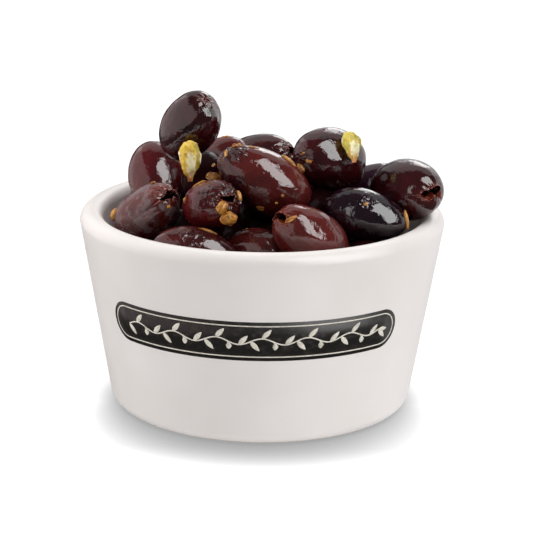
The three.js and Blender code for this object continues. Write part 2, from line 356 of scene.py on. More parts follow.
@dataclass(frozen=True)
class StonewareGlaze:
    """White stoneware under a satin off-white glaze, dipped and fired.

    The glaze pools a little, so the eye sees a soft sheen with slow waves in it and an even, faintly
    warm white. The foot ring is wiped clean before firing and stays matt and sandy.
    """

    light: str = "#e6e0dd"
    shade: str = "#e0dad6"
    biscuit: str = "#c9b79c"
    pinhole: str = "#6d6558"
    roughness: tuple[float, float] = (0.3, 0.42)
    wave: float = 7.0  # millimetres between the glaze's slow waves
    pool: float = 28.0  # millimetres between the places where it pools
    pit: float = 9.0  # millimetres between pinholes
    wiped: float = 0.7  # height up to which the foot has no glaze

    def material(self) -> bpy.types.Material:
        """Builds the glaze's nodes.

        Returns:
            The material.
        """
        material, tree = new_material("satin_glazed_stoneware")
        place = add_node(tree, SURFACE).outputs["Object"]
        height = add_node(tree, SPLIT, (place,)).outputs["Z"]
        waves = add_node(
            tree, NOISE, {"Vector": place, "Scale": 1 / (self.wave * MM), "Detail": 3.0}
        )
        pools = add_node(tree, NOISE, {"Vector": place, "Scale": 1 / (self.pool * MM)})
        pits = add_node(tree, CELLS, {"Vector": place, "Scale": 1 / (self.pit * MM)})
        wiped = self.wiped * MM
        bare = add_node(tree, RANGE, (height, wiped, 0.7 * wiped, 0.0, 1.0))
        coats = (
            (add_node(tree, RANGE, (pools, 0.35, 0.65, 0.0, 1.0)), self.light),
            (add_node(tree, RANGE, (pits, 0.018, 0.03, 0.35, 0.0)), self.pinhole),
            (bare, self.biscuit),
        )
        satin = add_node(tree, RANGE, (waves, 0.3, 0.7, *self.roughness))
        inputs = {
            "Base Color": layered(tree, self.shade, coats),
            "Roughness": add_node(tree, MIX, {0: bare, 2: satin, 3: 0.85}),
            "IOR": 1.5,
            "Normal": add_node(
                tree, BUMP, {"Height": waves, "Strength": 0.35, "Distance": 0.08 * MM}
            ),
        }
        add_node(tree, OUTPUT, (add_node(tree, PRINCIPLED, inputs),))
        return material


@dataclass(frozen=True)
class FiredInk:
    """Ceramic screen ink, printed as a decal and fired into the glaze.

    It keeps the glaze's satin and shows a faint mottle where the ink lies thin.
    """

    name: str
    colour: str
    thin: str
    roughness: tuple[float, float] = (0.33, 0.45)
    mottle: float = 1.4  # millimetres between thin spots

    def material(self) -> bpy.types.Material:
        """Builds the ink's nodes.

        Returns:
            The material.
        """
        material, tree = new_material(self.name)
        place = add_node(tree, SURFACE).outputs["Object"]
        spots = add_node(tree, NOISE, {"Vector": place, "Scale": 1 / (self.mottle * MM)})
        thin = add_node(tree, RANGE, (spots, 0.5, 0.8, 0.0, 1.0))
        inputs = {
            "Base Color": layered(tree, self.colour, ((thin, self.thin),)),
            "Roughness": add_node(tree, RANGE, (spots, 0.3, 0.7, *self.roughness)),
            "IOR": 1.5,
        }
        add_node(tree, OUTPUT, (add_node(tree, PRINCIPLED, inputs),))
        return material


@dataclass(frozen=True)
class Dish:
    """The flared dish, thick in the wall, with a half-round rim and a foot ring."""

    rim_radius: float = 50.0
    height: float = 54.5
    foot_radius: float = 41.2
    rim_round: float = 3.2
    foot_round: float = 3.9
    wall_top: float = 49.0  # where the wall's straight rows end, under the rim
    floor_top: float = 7.0
    floor_round: float = 8.0
    ring_radius: float = 33.0
    recess: float = 1.2
    sides: int = 224

    # The inner side of the foot ring: distances out from the ring's middle line, and heights.
    RING_SIDE: ClassVar[tuple[tuple[float, float], ...]] = (
        (-2.2, 1.2),
        (-0.9, 1.2),
        (-0.3, 0.25),
        (0.3, 0.0),
    )

    @property
    def rim_centre(self) -> tuple[float, float]:
        """The centre of the rim's half round."""
        return (self.rim_radius - self.rim_round, self.height - self.rim_round)

    @property
    def slope(self) -> float:
        """How far the wall goes out for each millimetre up."""
        return (self.rim_radius - self.foot_radius) / self.rim_centre[1]

    @property
    def lean(self) -> float:
        """The wall's angle from upright, in radians."""
        return math.atan(self.slope)

    def outer_radius(self, height: float | Array) -> float | Array:
        """The outside's radius at a height."""
        return self.foot_radius + self.slope * height

    def inner_radius(self, height: float | Array) -> float | Array:
        """The inside's radius at a height."""
        return self.outer_radius(height) - 2 * self.rim_round

    def section(self) -> list[tuple[float, float]]:
        """Draws the dish's section.

        Returns:
            Points from the axis under the foot, up, over the rim and down to the floor.
        """
        lean = math.degrees(self.lean)
        foot_x = self.outer_radius(self.foot_round) - self.foot_round / math.cos(self.lean)
        bend = self.floor_top + self.floor_round
        floor_x = self.inner_radius(bend) - self.floor_round
        outside = np.linspace(self.foot_round + 2, self.wall_top, 24)
        inside = np.linspace(self.wall_top, bend + 2, 10)
        return [
            (0.0, self.recess),
            *((self.ring_radius + out, z) for out, z in self.RING_SIDE),
            *arc((foot_x, self.foot_round), self.foot_round, -90, -lean, 10),
            *((self.outer_radius(z), z) for z in outside),
            *arc(self.rim_centre, self.rim_round, 0, 180, 20),
            *((self.inner_radius(z), z) for z in inside),
            *arc((floor_x, bend), self.floor_round, 0, -90, 8),
            (0.0, self.floor_top),
        ]

    def build(self) -> None:
        """Makes the dish."""
        shape = turned(self.section(), self.sides)
        shape.piece("stoneware_dish", StonewareGlaze().material(), ["dish"], "stoneware")

    def on_wall(self, across: Array, up: Array, middle: float, proud: Array | float) -> Array:
        """Wraps a flat pattern on the outside of the wall.

        Args:
            across: Distances to the right of the front, seen from the front.
            up: Distances along the wall's slope above the pattern's middle line.
            middle: The middle line's height.
            proud: How far out of the wall the points stand.

        Returns:
            The points.
        """
        angle = across / self.outer_radius(middle) - math.pi / 2
        z = middle + up * math.cos(self.lean) - proud * math.sin(self.lean)
        out = self.outer_radius(middle) + up * math.sin(self.lean) + proud * math.cos(self.lean)
        return ringed(angle, out, z)


@dataclass(frozen=True)
class Band:
    """A dark band printed on the front, with a keyline and a plain trailing sprig."""

    dish: Dish
    middle: float = 30.5  # height of its middle line
    height: float = 11.2
    centre: float = -2.6  # to the right of the front, along the wall
    half: float = 43.0
    corner: float = 5.6
    inset: float = 1.0  # of the keyline
    keyline: float = 0.32
    ink: float = 0.05  # how far the dark ink stands out of the glaze
    print_top: float = 0.08  # how far the cream ink stands out, which lies over the dark
    margin: float = 6.5  # from the band's end to the sprig's
    wave: float = 12.0  # the length of one wave of the stem
    rise: float = 0.9  # how far the stem swings up and down
    stem_width: float = 0.36
    stalk: tuple[float, float] = (0.5, 1.4)  # of a fruit, across and up
    stalk_width: float = 0.26
    leaf_size: tuple[float, float] = (3.6, 1.35)
    leaf_lean: float = 48.0  # degrees from the stem's line
    fruit_size: tuple[float, float] = (1.5, 1.9)
    tip_size: tuple[float, float] = (3.2, 1.3)

    def ribbon(self, left: Array, right: Array, low: float, high: float, loop: bool) -> Shape:
        """A thin strip of ink between two lines drawn on the wall.

        Args:
            left: The points of one edge, across and up.
            right: The points of the other edge.
            low: How far its underside stands out of the wall.
            high: How far its face stands out.
            loop: Whether its end meets its start.

        Returns:
            The closed strip.
        """
        rows = np.stack(
            [
                self.dish.on_wall(edge[:, 0] + self.centre, edge[:, 1], self.middle, proud)
                for edge, proud in ((left, low), (right, low), (right, high), (left, high))
            ],
            1,
        )
        count = len(rows)
        points = rows.reshape(-1, 3)
        faces: list[tuple[int, ...]] = []
        for k in range(count if loop else count - 1):
            here, there = 4 * k, 4 * ((k + 1) % count)
            for side in range(4):
                after = (side + 1) % 4
                faces.append((here + side, here + after, there + after, there + side))
        if not loop:
            faces += [(3, 2, 1, 0), tuple(4 * (count - 1) + k for k in range(4))]
        return Shape(points, faces)

    def outline(self, inset: float, steps: int = 10) -> Array:
        """Draws the band's rounded outline.

        Args:
            inset: How far inside the band's edge it runs.
            steps: How many chords each corner has.

        Returns:
            Points across and up, going anticlockwise.
        """
        half, tall = self.half - inset, self.height / 2 - inset
        round_off = self.corner - inset
        points = []
        for x, y, start in ((1, -1, -90), (1, 1, 0), (-1, 1, 90), (-1, -1, 180)):
            centre = (x * (half - round_off), y * (tall - round_off))
            points += arc(centre, round_off, start, start + 90, steps)
            if x == y:  # a long side follows this corner
                start_x, side_y = points[-1]
                points += [(start_x * (1 - 2 * s), side_y) for s in np.linspace(0, 1, 90)[1:-1]]
        return np.array(points)

    def panel(self) -> Shape:
        """Draws the dark panel.

        Returns:
            A strip from end to end, whose ends are round.
        """
        straight = self.half - self.corner
        turn = np.linspace(0, math.pi / 2, 14)
        right_end = straight + self.corner * np.cos(turn)
        run = np.linspace(-straight, straight, 96)
        across = np.unique(np.round(np.concatenate([-right_end, run, right_end]), 6))
        past = np.maximum(0, np.abs(across) - straight)
        drop = np.sqrt(np.maximum(1e-4, self.corner**2 - past**2))
        reach = self.height / 2 - self.corner + drop
        low, high = np.stack([across, -reach], -1), np.stack([across, reach], -1)
        return self.ribbon(low, high, -self.ink, self.ink, False)

    def leaf(self, root: Array, angle: float, length: float, width: float) -> Shape:
        """Draws one leaf of the sprig, a pointed oval.

        Args:
            root: Where it grows from.
            angle: The way that it points, in radians from the right.
            length: Its length.
            width: Its greatest width.

        Returns:
            The leaf.
        """
        way = np.array([math.cos(angle), math.sin(angle)])
        side = np.array([-way[1], way[0]])
        along = np.linspace(0.02, 0.98, 12)
        wide = (width / 2 * np.sin(math.pi * along**0.85) ** 0.8)[:, None]
        spine = root + along[:, None] * length * way
        return self.ribbon(spine - side * wide, spine + side * wide, 0, self.print_top, False)

    def stem(self, line: Array, width: float) -> Shape:
        """Draws a thin line of the sprig.

        Args:
            line: Its points, across and up.
            width: Its width.

        Returns:
            The line.
        """
        way = np.gradient(line, axis=0)
        way /= np.linalg.norm(way, axis=1, keepdims=True)
        side = np.stack([-way[:, 1], way[:, 0]], -1) * width / 2
        return self.ribbon(line - side, line + side, 0, self.print_top, False)

    def sprig(self) -> list[Shape]:
        """Draws the sprig.

        Returns:
            A wavy stem, and leaves and small round fruits on either side of it.
        """
        span = self.half - self.margin

        def on_stem(across: Array) -> Array:
            """The points of the stem at distances across."""
            return np.stack([across, self.rise * np.sin(2 * math.pi * across / self.wave)], -1)

        shapes = [self.stem(on_stem(np.linspace(-span, span, 220)), self.stem_width)]
        count = round(2 * span / (self.wave / 4))
        for k, root in enumerate(on_stem(np.linspace(-span, span, count + 1))):
            side = 1 if k % 2 else -1
            if k % 4 == 2:
                end = root + np.array([self.stalk[0], side * self.stalk[1]])
                shapes.append(self.stem(np.linspace(root, end, 4), self.stalk_width))
                heel = end - np.array([self.fruit_size[0] / 2, 0])
                shapes.append(self.leaf(heel, 0.0, *self.fruit_size))
            else:
                shapes.append(self.leaf(root, side * math.radians(self.leaf_lean), *self.leaf_size))
        shapes.append(self.leaf(np.array([span - 0.2, 0.0]), 0.0, *self.tip_size))
        return shapes

    def build(self) -> None:
        """Makes the panel and what is printed on it."""
        dark = FiredInk("charcoal_fired_ink", "#1b1816", "#35302b").material()
        cream = FiredInk("cream_fired_ink", "#ded8cb", "#b5ad9f").material()
        self.panel().piece("band_panel", dark, ["dish"], "stoneware")
        outer, inner = self.outline(self.inset), self.outline(self.inset + self.keyline)
        line = self.ribbon(inner, outer, 0, self.print_top, True)
        Shape.joined([line, *self.sprig()]).piece("band_sprig", cream, ["dish"], "stoneware")


# ---------------------------------------------------------------- the olives


class Kind(Enum):
    """The looks that the olives' skins have."""

    AUBERGINE = "aubergine"
    RED_BROWN = "red_brown"
    PURPLE = "purple"
    DULL = "dull"
    SHADED = "shaded"  # aubergine ones, turned away from the left wall
    PAINTED_SHADE = "steeped"  # those that lie deep between the others, painted near black as shade
    DRENCHED = "drenched"  # the wettest one, which mirrors a card instead of the wall


@dataclass(frozen=True)
class OliveSkin:
    """Cured black olive skin, wet with oil.

    Brine turns the skin from near black to red-brown and leaves fine creases, and the oil over it
    mirrors the lamps in patches with ragged edges. Flesh shows red-brown where the skin is torn, and
    where the skin is crumpled the oil breaks up into many small glints.
    """

    kind: Kind
    deep: str  # the near black
    warm: str  # what brine turns it to
    flesh: str
    # The greyish sheen that is painted on the dull patches.
    painted_sheen: str = "#5c4548"
    dull_and_sheen_share: float = 0.0  # the share of the skin that is dull: rougher, and painted with a greyish sheen
    gloss: float = 0.95
    roughness: tuple[float, float] = (0.03, 0.08)
    # The near black that is painted as shade deep inside the stone hole.
    pit: str = "#120506"
    cloud: float = 6.2  # millimetres between paler and darker places
    cast: float = 3.3  # millimetres between dull places
    crease: float = 1.8  # millimetres between creases
    crumple: float = 2.3  # millimetres between the folds of crumpled skin
    speck: float = 1.1  # millimetres between the skin's pores

    def material(self) -> bpy.types.Material:
        """Builds the skin's nodes.

        Returns:
            The material.
        """
        material, tree = new_material(f"{self.kind.value}_olive_skin")
        place = add_node(tree, ATTRIBUTE, attribute_name="place").outputs["Vector"]
        tone, flesh, depth, crumpled = (
            add_node(tree, ATTRIBUTE, attribute_name=paint).outputs["Fac"]
            for paint in ("tone", "flesh", "depth", "crumple")
        )
        clouds = add_node(
            tree,
            NOISE,
            {"Vector": place, "Scale": 1 / self.cloud, "Detail": 5.0, "Roughness": 0.6},
        )
        drift = add_node(tree, RANGE, (clouds, 0.3, 0.7, -0.22, 0.22))
        warmth = add_node(tree, "ShaderNodeMath", (tone, drift), operation="ADD", use_clamp=True)
        pores = add_node(tree, CELLS, {"Vector": place, "Scale": 1 / self.speck})
        casts = add_node(tree, NOISE, {"Vector": place, "Scale": 1 / self.cast, "Detail": 6.0})
        edge = 0.9 * (1 - self.dull_and_sheen_share)
        dull = add_node(tree, RANGE, (casts, edge, edge + 0.12, 0.0, 1.0))
        coats = (
            (warmth, self.warm),
            (add_node(tree, RANGE, (pores, 0.05, 0.14, 0.35, 0.0)), self.flesh),
            # Painted sheen: the dull patches are greyish, as if they mirrored the room.
            (dull, self.painted_sheen),
            (flesh, self.flesh),
            # Painted shade: the hole's inside darkens to near black as it goes deeper.
            (depth, self.pit),
        )
        shape = {"Vector": place, "Scale": 1 / self.crease, "Detail": 3.0, "Distortion": 0.6}
        creases = add_node(tree, NOISE, shape)
        oiled = add_node(tree, RANGE, (creases, 0.35, 0.75, *self.roughness))
        fine = add_node(tree, BUMP, {"Height": creases, "Strength": 0.7, "Distance": 0.2 * MM})
        shape = {
            "Vector": place,
            "Scale": 1 / self.crumple,
            "Detail": 1.0,
            "Roughness": 0.4,
            "Distortion": 1.2,
        }
        folds = {
            "Height": add_node(tree, NOISE, shape),
            "Strength": crumpled,
            "Distance": 0.9 * MM,
            "Normal": fine,
        }
        inputs = {
            "Base Color": layered(tree, self.deep, coats),
            "Roughness": add_node(tree, MIX, {0: dull, 2: oiled, 3: 0.42}),
            "IOR": 1.5,
            "Specular IOR Level": self.gloss,
            "Normal": add_node(tree, BUMP, folds),
        }
        add_node(tree, OUTPUT, (add_node(tree, PRINCIPLED, inputs),))
        return material


SKINS = (
    OliveSkin(Kind.AUBERGINE, "#1a0508", "#571317", "#7c3020"),
    OliveSkin(Kind.RED_BROWN, "#2a0d10", "#6c241f", "#8a3a22", "#6d4f4e"),
    OliveSkin(Kind.PURPLE, "#13060e", "#301423", "#4a1f1c", "#4a4048"),
    OliveSkin(Kind.DULL, "#2a1013", "#5c1c19", "#7a2d20", "#604849", dull_and_sheen_share=0.5),
    OliveSkin(Kind.SHADED, "#22070a", "#571317", "#7c3020"),
    # Painted shade: the olives deep between the others are near black and hardly glint.
    OliveSkin(
        Kind.PAINTED_SHADE, "#0f0507", "#2a0c0f", "#3a1612", "#1c1214", gloss=0.02, roughness=(0.1, 0.2)
    ),
    OliveSkin(Kind.DRENCHED, "#1c0508", "#571317", "#7c3020"),
)


@dataclass(frozen=True)
class Tear:
    """A split in the skin that runs out from the stone hole."""

    around: float  # degrees round the hole, from its upper side
    length: float
    spread: float = 13.0  # half its width where it meets the hole, in degrees


@dataclass(frozen=True)
class Hole:
    """The torn hole where an olive's stone came out, with the skin drawn into folds round it."""

    radius: float
    slit: float = 0.22  # how much longer than round it is
    turn: float = 90.0  # of its long side, in degrees from the olive's upper side
    reach: float = 2.2  # how far from it the skin is drawn in
    fold: float = 0.13  # how high the folds stand
    lip: float = 0.12  # how far its edge curls out
    tears: tuple[Tear, ...] = ()
    crumple: float = 0.7  # how crumpled the skin is round it
    dimple: float = 0.3  # how deep the skin sinks round it
    bowl: float = 3.0  # how far the dimple reaches
    slant: float = 0.0  # how far sideways its bottom lies, so that one wall shows
    leaning: float = 0.0  # the way that its bottom lies, in degrees from the upper side


@dataclass(frozen=True)
class Patch:
    """Crumpled skin round a direction from the olive's centre, round from +X and above level."""

    azimuth: float
    pitch: float
    spread: float  # degrees from its middle to where it has faded
    depth: float = 0.1  # how deep its folds are, in millimetres
    bare: float = 0.0  # the share of the skin that is gone, so that the flesh shows
    tone_shift: float = 0.0  # how much warmer in colour it is, or darker when negative: a real mark on some olives, and painted light and painted shade on others


@dataclass
class Olive:
    """One olive: an egg with a torn, puckered hole where its stone came out."""

    name: str
    centre: Array
    axis: Array
    length: float
    width: float
    hole: Hole | None  # none where the end is whole
    fixed: bool  # whether it stays where it is laid
    kind: Kind = Kind.AUBERGINE
    tone: float = 0.5
    patches: tuple[Patch, ...] = ()

    FULLNESS: ClassVar[float] = 2.06  # 2 is an ellipse, and more is blunter
    EGG: ClassVar[float] = 0.07  # how much narrower the holed half is
    LOBES: ClassVar[tuple[float, float]] = (0.16, 0.1)  # of the hole's edge, in threes and fives
    RAGGED: ClassVar[float] = 1.3  # millimetres between the notches in the hole's edge
    NOTCH: ClassVar[float] = 0.06  # how deep they are, as a share of the hole's radius
    POINTED: ClassVar[float] = 1.6  # how sharply a tear runs out
    PUCKER: ClassVar[float] = 1.3  # millimetres between the folds that are drawn into the hole
    PIT: ClassVar[float] = 6.0  # how deep the hole is
    PIT_ROWS: ClassVar[int] = 14
    PULP: ClassVar[float] = 1.4  # millimetres between the lumps of flesh inside it
    LIP_WIDTH: ClassVar[float] = 0.45
    FLESH_WIDTH: ClassVar[float] = 0.32  # of the torn edge that shows the flesh
    FOLDS: ClassVar[float] = 1.5  # millimetres between the folds of crumpled skin
    CRUMPLED: ClassVar[float] = 0.08  # depth of folds from which the skin is fully crumpled
    # Spacing and height of the skin's unevenness, from slow dents to fine creases.
    SWELLS: ClassVar[tuple[tuple[float, float], ...]] = ((11.0, 0.16), (4.5, 0.04), (2.0, 0.02))
    SCATTER: ClassVar[float] = 200.0  # how far apart two olives' patterns are taken from

    @classmethod
    def girth(cls, share: Array | float) -> Array | float:
        """The radius as a share of the widest, from -1 at the whole end to 1 at the holed end."""
        full = 1 - np.abs(share) ** cls.FULLNESS
        return np.sqrt(np.maximum(0, full)) * (1 - cls.EGG * share)

    def axes(self) -> Array:
        """Works out the olive's own directions.

        Returns:
            Its upward, sideways and holeward directions as columns.
        """
        reference = UP if abs(self.axis[2]) < 0.95 else np.array([0.0, -1.0, 0.0])
        across = unit(reference - self.axis * (reference @ self.axis))
        return np.stack([across, np.cross(self.axis, across), self.axis], -1)

    def share_at(self, radius: Array) -> Array:
        """Finds where the skin has narrowed to a radius.

        Args:
            radius: Distances from the olive's axis.

        Returns:
            How far along the olive each one is met, with the holed end at 1.
        """
        low, high = np.zeros_like(radius), np.ones_like(radius)
        for _ in range(30):
            middle = (low + high) / 2
            wide = self.width / 2 * self.girth(middle) > radius
            low, high = np.where(wide, middle, low), np.where(wide, high, middle)
        return low

    def hole_edge(self, around: Array, seed: int) -> tuple[Array, Array]:
        """The radius of the hole's edge round the olive.

        Args:
            around: Angles in radians, from the upper side.
            seed: Fixes how ragged the edge is.

        Returns:
            The radius without the tears, and with them.
        """
        hole = self.hole
        ragged = Ripples(self.RAGGED, seed).at(ringed(around, 3.0, 0 * around))
        lobes = self.LOBES[0] * np.cos(3 * around + self.length)
        lobes = lobes + self.LOBES[1] * np.cos(5 * around + seed)
        slit = 1 + hole.slit * np.cos(2 * (around - math.radians(hole.turn)))
        whole = hole.radius * slit * (1 + lobes + self.NOTCH * ragged)
        torn = whole.copy()
        for tear in hole.tears:
            turn = (around - math.radians(tear.around) + math.pi) % (2 * math.pi) - math.pi
            near = np.maximum(0, 1 - np.abs(turn) / math.radians(tear.spread))
            torn = torn + tear.length * near**self.POINTED * (1 + 2 * self.NOTCH * ragged)
        return whole, torn

    def swells(self, local: Array, seed: int) -> Array:
        """Adds up the skin's unevenness.

        Args:
            local: Points on the skin, in the olive's own axes.
            seed: Fixes the dents.

        Returns:
            How far the skin stands out at each point.
        """
        along_creases = local * [1, 1, 0.5]  # creases run along the olive
        height = np.zeros(local.shape[:-1])
        for index, (wavelength, depth) in enumerate(self.SWELLS):
            height = height + Ripples(wavelength, seed + index).at(along_creases) * depth
        return height

    def crumples(self, local: Array, seed: int) -> tuple[Array, Array, Array, Array]:
        """What the patches do to the skin.

        Args:
            local: Points on the skin, in the olive's own axes.
            seed: Fixes the folds.

        Returns:
            How crumpled it is at each point, how far it stands out for that, how bare it is, and
            its tone.
        """
        ways = local / np.linalg.norm(local, axis=-1, keepdims=True)
        folds = Ripples(self.FOLDS, seed + 7).at(local)
        share, height, bare = (np.zeros(local.shape[:-1]) for _ in range(3))
        tone = np.full(local.shape[:-1], self.tone)
        for patch in self.patches:
            middle = heading(patch.azimuth, patch.pitch) @ self.axes()
            away = np.degrees(np.arccos(np.clip(ways @ middle, -1, 1)))
            # The folds make the patch's edge uneven, and the flesh shows on their crests.
            near = smooth(1.4 * (1 - away / patch.spread) + 0.25 * folds)
            share = np.maximum(share, near * min(1.0, patch.depth / self.CRUMPLED))
            # Patches change the tone here: real marks, and on some olives painted light and shade.
            tone = tone + near * patch.tone_shift
            height = height + near * patch.depth * folds
            bare = np.maximum(bare, patch.bare * smooth(near + 0.5 * folds - 0.2))
        return share, height, bare, tone

    def shape(self, rows: int, sides: int, seed: int) -> Shape:
        """The olive's surface.

        Args:
            rows: How many rows of points lie between its ends.
            sides: How many points go round it.
            seed: Fixes its dents.

        Returns:
            The closed shape in the dish's frame.
        """
        around = np.linspace(0, 2 * math.pi, sides, endpoint=False)
        half, radius = self.length / 2, self.width / 2
        last = np.full(sides, math.pi * rows / (rows + 1))
        if self.hole:
            whole, torn = self.hole_edge(around, seed)
            last = np.arccos(-self.share_at(torn))
        angle = np.arange(1, rows + 1)[:, None] / rows * last
        out, along = radius * self.girth(-np.cos(angle)), -half * np.cos(angle)
        even = ringed(around, out, along)
        crumpled, lift, flesh, tone = self.crumples(even, seed)
        lift = lift + self.swells(even, seed)
        depth = np.zeros_like(out)
        if self.hole:
            back = np.hypot(out - out[-1], along - along[-1])  # distance back from the hole's edge

            def within(reach: float) -> Array:
                """How near the hole's edge each point is, fading over a reach."""
                return np.exp(-((back / reach) ** 2))

            # The skin sinks and is drawn into folds, and at the edge it curls out and is torn.
            drawn = within(self.hole.reach)
            folds = Ripples(self.PUCKER, seed + 5).at(ringed(around, 2.6, 0.3 * back))
            lift = lift + drawn * self.hole.fold * folds
            lift = lift - self.hole.dimple * within(self.hole.bowl)
            lift = lift + self.hole.lip * within(self.LIP_WIDTH)
            flesh = np.maximum(flesh, within(self.FLESH_WIDTH) + 0.2 * drawn)
            crumpled = np.maximum(crumpled, self.hole.crumple * drawn)
        # The unevenness stands out square to the even egg.
        normal = even / [radius**2, radius**2, half**2]
        normal /= np.linalg.norm(normal, axis=-1, keepdims=True)
        local = even + normal * lift[..., None]
        end = half
        if self.hole:
            pit, inner = self.pit(around, whole, torn, local[-1], seed)
            local = np.concatenate([local, pit])
            flesh = np.concatenate([flesh, inner["flesh"]])
            tone = np.concatenate([tone, np.repeat(tone[-1:], self.PIT_ROWS, 0)])
            depth = np.concatenate([depth, inner["depth"]])
            crumpled = np.concatenate([crumpled, inner["crumple"]])
            end = pit[-1, :, 2].mean() - 0.1
        # Each olive takes its patterns from another place, so no two look the same.
        shift = np.random.default_rng(seed).uniform(-self.SCATTER, self.SCATTER, 3)
        paint = {
            "place": local + shift,
            "tone": tone,
            "flesh": np.clip(flesh, 0, 1),
            "depth": depth,
            "crumple": crumpled,
        }
        first, last = np.array([0.0, 0.0, -half]), np.array([0.0, 0.0, end])
        return Shape.skin(local, first, last, paint).placed(self.centre, self.axes())

    def shown(self, around: Array) -> Array:
        """How much of the hole's wall shows on each side, from 0 to 1, because the hole slants."""
        turn = around - math.radians(self.hole.leaning)
        return min(1.0, self.hole.slant) * smooth(0.5 - 0.6 * np.cos(turn))

    def pit(
        self, around: Array, whole: Array, torn: Array, edge: Array, seed: int
    ) -> tuple[Array, dict[str, Array]]:
        """The hole's inside, which starts as wide as the tears and narrows to a rough bore.

        Args:
            around: Angles in radians, from the upper side.
            whole: The radius of the hole's edge without the tears.
            torn: The same with the tears.
            edge: The points of the hole's edge.
            seed: Fixes how rough the flesh is.

        Returns:
            Rows of points from the edge to the bottom, and how far they show the flesh, lie deep
            and are crumpled.
        """
        inward = np.linspace(0, 1, self.PIT_ROWS + 1)[1:, None]
        laid_open = (torn - whole) * (1 - inward) ** 2  # by the tears
        out = whole * (1 - 0.75 * inward**4) + laid_open
        crown = edge[:, 2].max()
        along = edge[:, 2] + (crown - edge[:, 2]) * smooth(inward / 0.4) - self.PIT * inward**1.15
        rough = Ripples(self.PULP, seed + 9).at(ringed(around, 3.0 + 0 * out, along))
        shown = self.shown(around)
        curls = 0.1 + 0.14 * shown
        inside = ringed(around, out * (1 + curls * rough * smooth(inward * 4)), along)
        lean = math.radians(self.hole.leaning)
        aside = np.array([math.cos(lean), math.sin(lean), 0.0])
        points = inside + self.hole.slant * smooth(inward * 1.6)[..., None] * aside
        gully = smooth(laid_open / 0.6)
        inward = inward + 0 * around
        return points, {
            "flesh": np.maximum(1 - smooth(inward * 4) * (1 - shown), gully),
            # Painted shade: darker towards the hole's bottom, less on the wall that shows, and not
            # in the tears.
            "depth": smooth(inward * 5 - 3 * shown) * (1 - gully),
            "crumple": 0.8 * (1 - smooth(inward * 3)) + 0.6 * shown,
        }

    def skin_reach(self, out: Array) -> float:
        """Finds how far the skin is from the centre.

        Args:
            out: A unit vector.

        Returns:
            The distance in that direction.
        """
        along = (out @ self.axis) / (self.length / 2)
        across = math.sqrt(1 - (out @ self.axis) ** 2) / (self.width / 2)
        inside, outside = 0.0, self.length / 2
        for _ in range(30):
            reach = (inside + outside) / 2
            if across * reach < self.girth(along * reach):
                inside = reach
            else:
                outside = reach
        return inside

    def seat(self, azimuth: float, pitch: float, spin: float, lift: float) -> tuple[Array, Array]:
        """A place on the skin for a bit of spice.

        Args:
            azimuth: Direction from the olive's centre, round from +X, in degrees.
            pitch: The same direction above level, in degrees.
            spin: The turn of the bit's long side away from the olive's axis, in degrees.
            lift: How far over the skin the bit's middle is.

        Returns:
            The bit's centre, and its long, wide and outward directions as columns.
        """
        half, radius = self.length / 2, self.width / 2
        out = heading(azimuth, pitch)
        at = out * self.skin_reach(out)
        axial = self.axis * (at @ self.axis)
        normal = unit((at - axial) / radius**2 + axial / half**2)
        level = unit(self.axis - normal * (self.axis @ normal))
        turn = math.radians(spin)
        long_side = level * math.cos(turn) + np.cross(normal, level) * math.sin(turn)
        axes = np.stack([long_side, np.cross(normal, long_side), normal], -1)
        return self.centre + at + normal * lift, axes


@dataclass(frozen=True)
class Laid:
    """An olive laid in a given place: where it lies, which way its holed end points, and its skin.
    """

    name: str
    centre: tuple[float, float, float]
    azimuth: float
    pitch: float
    length: float
    width: float
    kind: Kind
    tone: float
    hole: Hole | None = None
    patches: tuple[Patch, ...] = ()

    def olive(self) -> Olive:
        """Makes the olive itself.

        Returns:
            The olive, which stays where it is laid.
        """
        return Olive(
            self.name,
            np.array(self.centre),
            heading(self.azimuth, self.pitch),
            self.length,
            self.width,
            self.hole,
            fixed=True,
            kind=self.kind,
            tone=self.tone,
            patches=self.patches,
        )


CROWNING = "peak"  # the olive that stands on top
CROWNING_PIECE = "crowning_olive"
PEAK_HOLE = Hole(
    0.7,
    slit=0.6,
    turn=60,
    reach=2.4,
    fold=0.16,
    lip=0.0,
    tears=(Tear(120, 0.6), Tear(-95, 0.6)),
    crumple=0.4,
    dimple=0.9,
    bowl=3.2,
)
LEFT_HOLE = Hole(
    1.7,
    slit=0.4,
    reach=2.6,
    fold=0.25,
    lip=0.3,
    tears=(
        Tear(150, 3.2, 17),
        Tear(100, 2.6, 14),
        Tear(40, 1.4),
        Tear(-60, 2.2, 14),
        Tear(-125, 2.0, 14),
    ),
    dimple=0.6,
    bowl=4.0,
)
POD_HOLE = Hole(
    1.4, slit=0.3, reach=3.2, fold=0.28, lip=0.1, tears=(Tear(70, 1.6), Tear(-30, 1.2)), dimple=0.5
)
BACK_HOLE = Hole(1.5, reach=3.0, fold=0.25, lip=0.1, tears=(Tear(90, 1.5),), dimple=0.5)
RIM_HOLE = Hole(
    2.1,
    slit=0.5,
    turn=100,
    reach=1.8,
    fold=0.12,
    lip=0.35,
    tears=(Tear(-125, 1.6, 15), Tear(95, 0.6)),
    dimple=0.5,
    slant=0.8,
)
FRONT_HOLE = Hole(
    1.7,
    slit=0.45,
    reach=2.0,
    fold=0.18,
    lip=0.2,
    tears=(Tear(-60, 1.0), Tear(110, 0.8)),
    slant=0.8,
)
